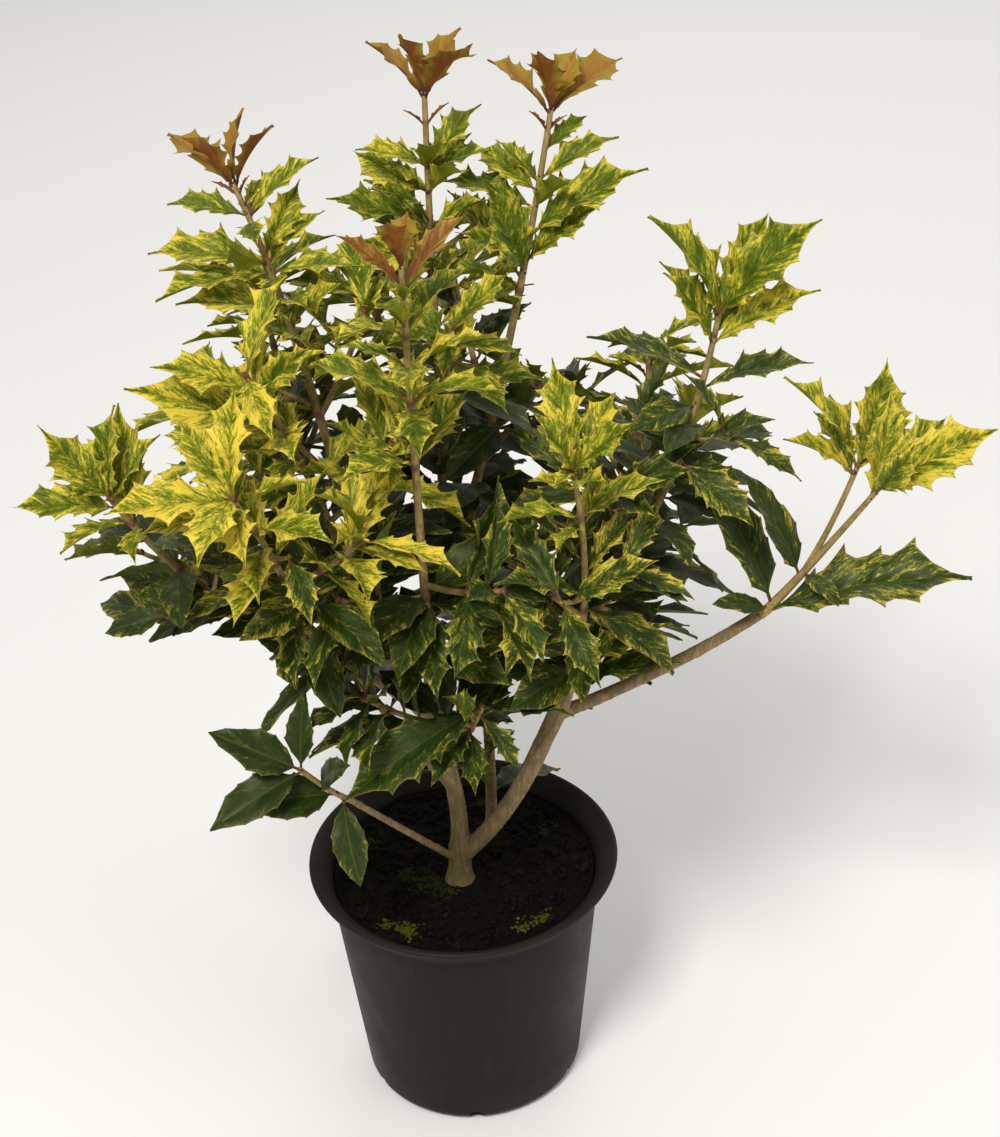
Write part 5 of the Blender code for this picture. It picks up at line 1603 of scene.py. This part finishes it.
class HOLLY_OT_soil(bpy.types.Operator):
    """Makes the peat with its crumbs, bark chips and moss"""

    bl_idname = "holly.soil"
    bl_label = "Soil"

    def execute(self, context):
        colours = context.scene.holly_colours
        peat = colours.peat[:3]
        rng = random.Random(SOIL_SEED)
        noise.seed_set(SOIL_SEED)
        rim = NECK_RADIUS - WALL - GAP
        bottom = HEEL_RADIUS - WALL - 1.5 * MM - GAP
        bm = bmesh.new()
        rings = SOIL_MESH_RINGS
        profile = [(rim * i / rings, SOIL_TOP) for i in range(rings + 1)]
        profile += [(rim - 0.2 * MM, SOIL_EDGE - 3 * MM), (bottom, FLOOR_TOP + GAP), (0, FLOOR_TOP + GAP)]
        verts = [bm.verts.new((r, 0, z)) for r, z in profile]
        edges = [bm.edges.new(pair) for pair in zip(verts, verts[1:])]
        bmesh.ops.spin(
            bm, geom=verts + edges, cent=(0, 0, 0), axis=(0, 0, 1), angle=2 * math.pi, steps=SOIL_TURN, use_merge=True
        )
        bmesh.ops.remove_doubles(bm, verts=bm.verts, dist=1e-6)
        bmesh.ops.recalc_face_normals(bm, faces=bm.faces)
        for v in bm.verts:
            if v.co.z > SOIL_TOP - 0.01 * MM:
                v.co.z = ground(v.co.x, v.co.y)
        mesh = bpy.data.meshes.new("peat_bed")
        bm.to_mesh(mesh)
        bm.free()
        mesh.shade_smooth()
        mesh.materials.append(soil_material("peat", [0.3 * c for c in peat], peat))
        add_piece("peat_bed", mesh, ["soil"])
        self.scatter(rng, "peat_crumbs", CRUMBS, (0.8, 2.1), (1, 1, 0.8),
                     soil_material("crumbs", [0.4 * c for c in peat], [1.5 * c for c in peat]))
        self.scatter(rng, "bark_chips", CHIPS, (2.2, 4.6), (1, 0.5, 0.22),
                     soil_material("chips", [0.9 * c for c in peat], [2.4 * c for c in peat]))
        for name, spots in MOSS_SPOTS.items():
            level = MOSS_SHADE if name == "moss_in_shade" else 1
            self.moss(rng, name, spots, context.scene.holly_sizes.moss_tuft, [level * c for c in colours.moss[:3]])
        return {"FINISHED"}

    def scatter(self, rng, name, count, sizes, shape, material):
        """Small lumps that lie on the peat."""
        bm = bmesh.new()
        for _ in range(count):
            reach = (NECK_RADIUS - 5 * MM) * math.sqrt(rng.random())
            way = rng.uniform(0, 2 * math.pi)
            x, y = reach * math.cos(way), reach * math.sin(way)
            if math.hypot(x - TRUNK_FOOT[0] * MM, y - TRUNK_FOOT[1] * MM) < 11 * MM:
                continue
            size = rng.uniform(*sizes) * MM
            place = Matrix.Translation((x, y, ground(x, y) + size * shape[2] * 0.3))
            turn = Matrix.Rotation(rng.uniform(0, 6.3), 4, "Z") @ Matrix.Rotation(rng.uniform(-0.4, 0.4), 4, "X")
            scale = Matrix.Diagonal((size * shape[0], size * shape[1], size * shape[2], 1))
            lump = bmesh.ops.create_icosphere(bm, subdivisions=1, radius=1, matrix=place @ turn @ scale)
            for v in lump["verts"]:
                v.co += noise.noise_vector(v.co * 700) * size * 0.35
        self.finish(bm, name, material, "peat")

    def moss(self, rng, name, spots, tuft_size, colour):
        """Low mounds of moss made of small tufts."""
        bm = bmesh.new()
        for x, y, spot, count in spots:
            for _ in range(count):
                out = abs(rng.gauss(0, 0.5))
                way = rng.uniform(0, 2 * math.pi)
                px = (x + spot * out * math.cos(way)) * MM
                py = (y + spot * out * math.sin(way)) * MM
                if math.hypot(px, py) > NECK_RADIUS - 3.5 * MM:
                    continue
                size = tuft_size * rng.uniform(0.8, 1.3) / (1 + out)
                place = Matrix.Translation((px, py, ground(px, py)))
                scale = Matrix.Diagonal((size * 1.25, size * 1.25, size * 0.6, 1))
                tuft = bmesh.ops.create_icosphere(bm, subdivisions=2, radius=1, matrix=place @ scale)
                for v in tuft["verts"]:
                    v.co += noise.noise_vector(v.co * 1500) * size * 0.40
        self.finish(bm, name, moss_material(name, colour), "peat")

    def finish(self, bm, name, material, slot):
        """Turns the lumps into a piece."""
        mesh = bpy.data.meshes.new(name)
        bm.to_mesh(mesh)
        bm.free()
        mesh.shade_smooth()
        mesh.materials.append(material)
        add_piece(name, mesh, ["soil"])


class HOLLY_OT_wood(bpy.types.Operator):
    """Makes the trunk, stems and boughs as one limb system with its bark's relief"""

    bl_idname = "holly.wood"
    bl_label = "Trunk and boughs"

    def execute(self, context):
        sizes, colours = context.scene.holly_sizes, context.scene.holly_colours
        limbs, _, _, _ = grow_plant()
        parts = MeshParts()
        for name, (points, radii) in limbs.items():
            fine, widths = smooth_path(points, radii, WOOD_STEP)
            if name in LIMBS:
                widths = [w * (1 + ROOT_FLARE * math.exp(-i / 3.5)) for i, w in enumerate(widths)]
            fine, widths = capped(fine, widths, name)
            tube_parts(parts, fine, [w * 0.98 for w in widths], WOOD_SIDES)
        mesh = parts.mesh("bark_limbs", [])
        wood = add_piece("bark_limbs", mesh, limb_nodes())
        change = wood.modifiers.new("fuse", "REMESH")
        change.mode = "VOXEL"
        change.voxel_size = sizes.wood_grid
        change.use_smooth_shade = True
        soften = wood.modifiers.new("soften", "SMOOTH")
        soften.iterations = 3
        soften.factor = 0.5
        context.view_layer.update()
        depsgraph = context.evaluated_depsgraph_get()
        fused = bpy.data.meshes.new_from_object(wood.evaluated_get(depsgraph), depsgraph=depsgraph)
        wood.modifiers.clear()
        wood.data = fused
        count = len(fused.vertices)
        normals = np.empty(count * 3, np.float32)
        places = np.empty(count * 3, np.float32)
        fused.vertices.foreach_get("normal", normals)
        fused.vertices.foreach_get("co", places)
        places = places.reshape(-1, 3)
        relief = np.array([bark_relief(Vector(p)) for p in places], np.float32) * sizes.bark_relief
        places += normals.reshape(-1, 3) * relief[:, None]
        fused.vertices.foreach_set("co", places.ravel())
        fused.materials.clear()
        light = colours.bark[:3]
        fused.materials.append(bark_material("bark", [0.45 * c for c in light], light, colours.bark_green[:3]))
        fused.shade_smooth()
        fused.update()
        return {"FINISHED"}


def capped(points, radii, name):
    """A limb's tube; the trunk's is drawn on 3 mm below its foot, a little wider, into the soil."""
    if name == "trunk":
        points = [points[0] - Vector((0, 0, 3.0))] + points
        radii = [radii[0] * 1.06] + radii
    return points, radii


def bark_relief(place):
    """How far the bark stands out at a place, over the depth of its ridges."""
    stretched = Vector((place.x, place.y, place.z * 0.22))
    return noise.noise(stretched * 620) + 8 * max(noise.noise(place * 210) - 0.34, 0)


class HOLLY_OT_shoots(bpy.types.Operator):
    """Makes the green shoots, twigs and spurs with swollen leaf nodes and small buds"""

    bl_idname = "holly.shoots"
    bl_label = "Shoots and twigs"

    def execute(self, context):
        colours = context.scene.holly_colours
        bud_size = context.scene.holly_sizes.bud / MM
        _, masses, spurs, grown = grow_plant()
        parts = MeshParts()
        for name, stems in masses.items():
            for points, radii, _, zones in stems:
                nodes = [first + (last - first) * k / max(pairs - 1, 1)
                         for _, pairs, first, last, _, _ in zones for k in range(pairs)]
                fine, widths = smooth_path(points, radii, SHOOT_STEP)
                widths, tones = swollen(fine, widths, nodes)
                tube_parts(parts, fine, widths, 8, tones)
        for points, radii in spurs:
            fine, widths = smooth_path(points, radii, 1.5)
            tube_parts(parts, fine, widths, 8)
        shoots = parts.mesh("green_shoots", [])
        young = colours.young_bark[:3]
        shoots.materials.append(
            bark_material("young_bark", [0.62 * c for c in young], young, colours.bark_green[:3],
                          colours.leaf_stalk[:3], 1.6)
        )
        add_piece("green_shoots", shoots, mass_nodes())
        rng = random.Random(FINE_SEED + 1)
        buds = MeshParts()
        for item in grown:
            leaf = item.leaf
            out = (leaf.along * 0.5 + leaf.up * 0.8).normalized()
            base = leaf.base + out * leaf.stem_radius * 0.6
            size = bud_size * rng.uniform(0.7, 1.25)
            points = [base + out * size * t for t in (0.0, 0.9, 1.9, 2.7, 3.2)]
            tube_parts(buds, points, [size * w for w in (0.55, 0.95, 0.75, 0.35, 0.05)], 6)
        mesh = buds.mesh("buds", [])
        stalk = colours.leaf_stalk[:3]
        mesh.materials.append(bark_material("bud_scales", [0.5 * c for c in stalk], stalk, young, finer=2.0))
        add_piece("buds", mesh, mass_nodes())
        return {"FINISHED"}


class HOLLY_OT_leaves(bpy.types.Operator):
    """Makes every leaf, joined by kind: old dark, middle, young bright, copper and bronze"""

    bl_idname = "holly.leaves"
    bl_label = "Leaves"

    def execute(self, context):
        colours = context.scene.holly_colours
        thickness = context.scene.holly_sizes.leaf_thickness
        _, _, _, grown = grow_plant()
        for kind in KINDS:
            rng = random.Random(f"{FINE_SEED} {kind}")
            materials = [leaf_material(colours, kind, False), leaf_material(colours, kind, True)]
            chosen = [item for item in grown if item.kind == kind]
            per_piece = math.ceil(len(chosen) / math.ceil(len(chosen) * LEAF_TRIANGLES / PIECE_TRIANGLES))
            for start in range(0, len(chosen), per_piece):
                parts = MeshParts()
                for number, item in enumerate(chosen[start : start + per_piece]):
                    leaf_mesh(rng, parts, item, start + number, thickness)
                name = f"{kind}_leaves_{start // per_piece + 1}"
                add_piece(name, parts.mesh(name, materials, LEAF_SHARP_ANGLE), mass_nodes())
        return {"FINISHED"}


def colour_setting(name, description, colour):
    """A colour that a user can change."""
    return FloatVectorProperty(
        name=name, description=description, default=(*colour, 1), size=4, min=0, max=1, subtype="COLOR"
    )


class HollyStage(bpy.types.PropertyGroup):
    """The floor and the light"""

    floor_colour: colour_setting("Floor colour", "Colour of the pale floor", (0.90, 0.90, 0.90))
    fill_light: FloatProperty(
        name="Fill light", description="Strength of the light from all around", default=0.48, min=0, max=5,
    )
    lamp_strength: FloatProperty(
        name="Lamp strength", description="Power of all lamps over their usual power", default=1, min=0, max=10,
    )


class HollySizes(bpy.types.PropertyGroup):
    """Sizes of the fine parts; the plant's reach comes from the tables of the solids"""

    leaf_thickness: FloatProperty(
        name="Leaf thickness", description="Thickness of a leaf over its length", default=0.009, min=0.004, max=0.02,
    )
    bud: FloatProperty(
        name="Bud size", description="Radius of the buds at the leaf stalks", default=0.7 * MM, min=0.2 * MM,
        max=2 * MM, precision=5, unit="LENGTH",
    )
    bark_relief: FloatProperty(
        name="Bark relief", description="Depth of the ridges in the bark", default=0.13 * MM, min=0, max=0.4 * MM,
        precision=5, unit="LENGTH",
    )
    wood_grid: FloatProperty(
        name="Wood grid", description="Cell size of the mesh of the trunk and boughs", default=0.68 * MM,
        min=0.5 * MM, max=2 * MM, precision=5, unit="LENGTH",
    )
    moss_tuft: FloatProperty(
        name="Moss tuft", description="Radius of the tufts of moss", default=1.2 * MM, min=0.5 * MM, max=3 * MM,
        precision=5, unit="LENGTH",
    )


class HollyColours(bpy.types.PropertyGroup):
    """Colours of the plant, its soil and its pot"""

    leaf_green: colour_setting("Leaf green", "Green of the bright leaves", (0.038, 0.074, 0.0030))
    old_green: colour_setting("Old green", "Green of the dark leaves", (0.0115, 0.0275, 0.0038))
    leaf_yellow: colour_setting("Leaf yellow", "Yellow of the bright leaves", (0.72, 0.55, 0.055))
    bronze_brown: colour_setting("Bronze brown", "Brown of the new cup leaves", (0.25, 0.080, 0.019))
    bronze_gold: colour_setting("Bronze gold", "Gold inside the new cup leaves", (0.44, 0.27, 0.036))
    leaf_stalk: colour_setting("Leaf stalk", "Purple of the leaf stalks and nodes", (0.135, 0.040, 0.032))
    bark: colour_setting("Bark", "Light part of the bark", (0.37, 0.25, 0.130))
    young_bark: colour_setting("Young bark", "Light part of the shoots", (0.44, 0.31, 0.110))
    bark_green: colour_setting("Bark green", "Green cast on the bark", (0.150, 0.120, 0.038))
    pot: colour_setting("Pot", "Black plastic of the pot", (0.0085, 0.0065, 0.0050))
    # This colour also lightens the pot's lip, partly as dust and partly as painted light.
    pot_dust_and_lip_light: colour_setting("Pot dust", "Dust and scuffs on the pot", (0.036, 0.027, 0.020))
    peat: colour_setting("Peat", "Light part of the damp peat", (0.0062, 0.0042, 0.0027))
    moss: colour_setting("Moss", "Bright tips of the moss", (0.110, 0.130, 0.008))
    marbling: FloatProperty(
        name="Marbling size", description="Size of the leaves' streaks over their usual size", default=1,
        min=0.3, max=3,
    )


class HOLLY_PT_panel(bpy.types.Panel):
    """Lists the plant's pieces"""

    bl_label = "Holly olive"
    bl_idname = "HOLLY_PT_panel"
    bl_space_type = "VIEW_3D"
    bl_region_type = "UI"
    bl_category = "Holly olive"

    def draw(self, context):
        # Shows the settings and a button for each operator
        layout = self.layout
        scene = context.scene
        for settings in (scene.holly_stage, scene.holly_sizes, scene.holly_colours):
            box = layout.box()
            for name in settings.bl_rna.properties.keys():
                if name not in ("rna_type", "name"):
                    box.prop(settings, name)
        for operator in OPERATORS:
            layout.operator(operator.bl_idname)


OPERATORS = (HOLLY_OT_stage, HOLLY_OT_pot, HOLLY_OT_soil, HOLLY_OT_wood, HOLLY_OT_shoots, HOLLY_OT_leaves)
CLASSES = (HollyStage, HollySizes, HollyColours, *OPERATORS, HOLLY_PT_panel)


def register():
    """Registers the classes and the scene's settings."""
    for item in CLASSES:
        bpy.utils.register_class(item)
    bpy.types.Scene.holly_stage = PointerProperty(type=HollyStage)
    bpy.types.Scene.holly_sizes = PointerProperty(type=HollySizes)
    bpy.types.Scene.holly_colours = PointerProperty(type=HollyColours)


def unregister():
    """Removes the classes and the scene's settings."""
    del bpy.types.Scene.holly_stage
    del bpy.types.Scene.holly_sizes
    del bpy.types.Scene.holly_colours
    for item in reversed(CLASSES):
        bpy.utils.unregister_class(item)


def main():
    """Makes the stage and every piece."""
    register()
    bpy.ops.holly.stage()
    bpy.ops.holly.pot()
    bpy.ops.holly.soil()
    bpy.ops.holly.wood()
    bpy.ops.holly.shoots()
    bpy.ops.holly.leaves()


if __name__ == "__main__":
    main()
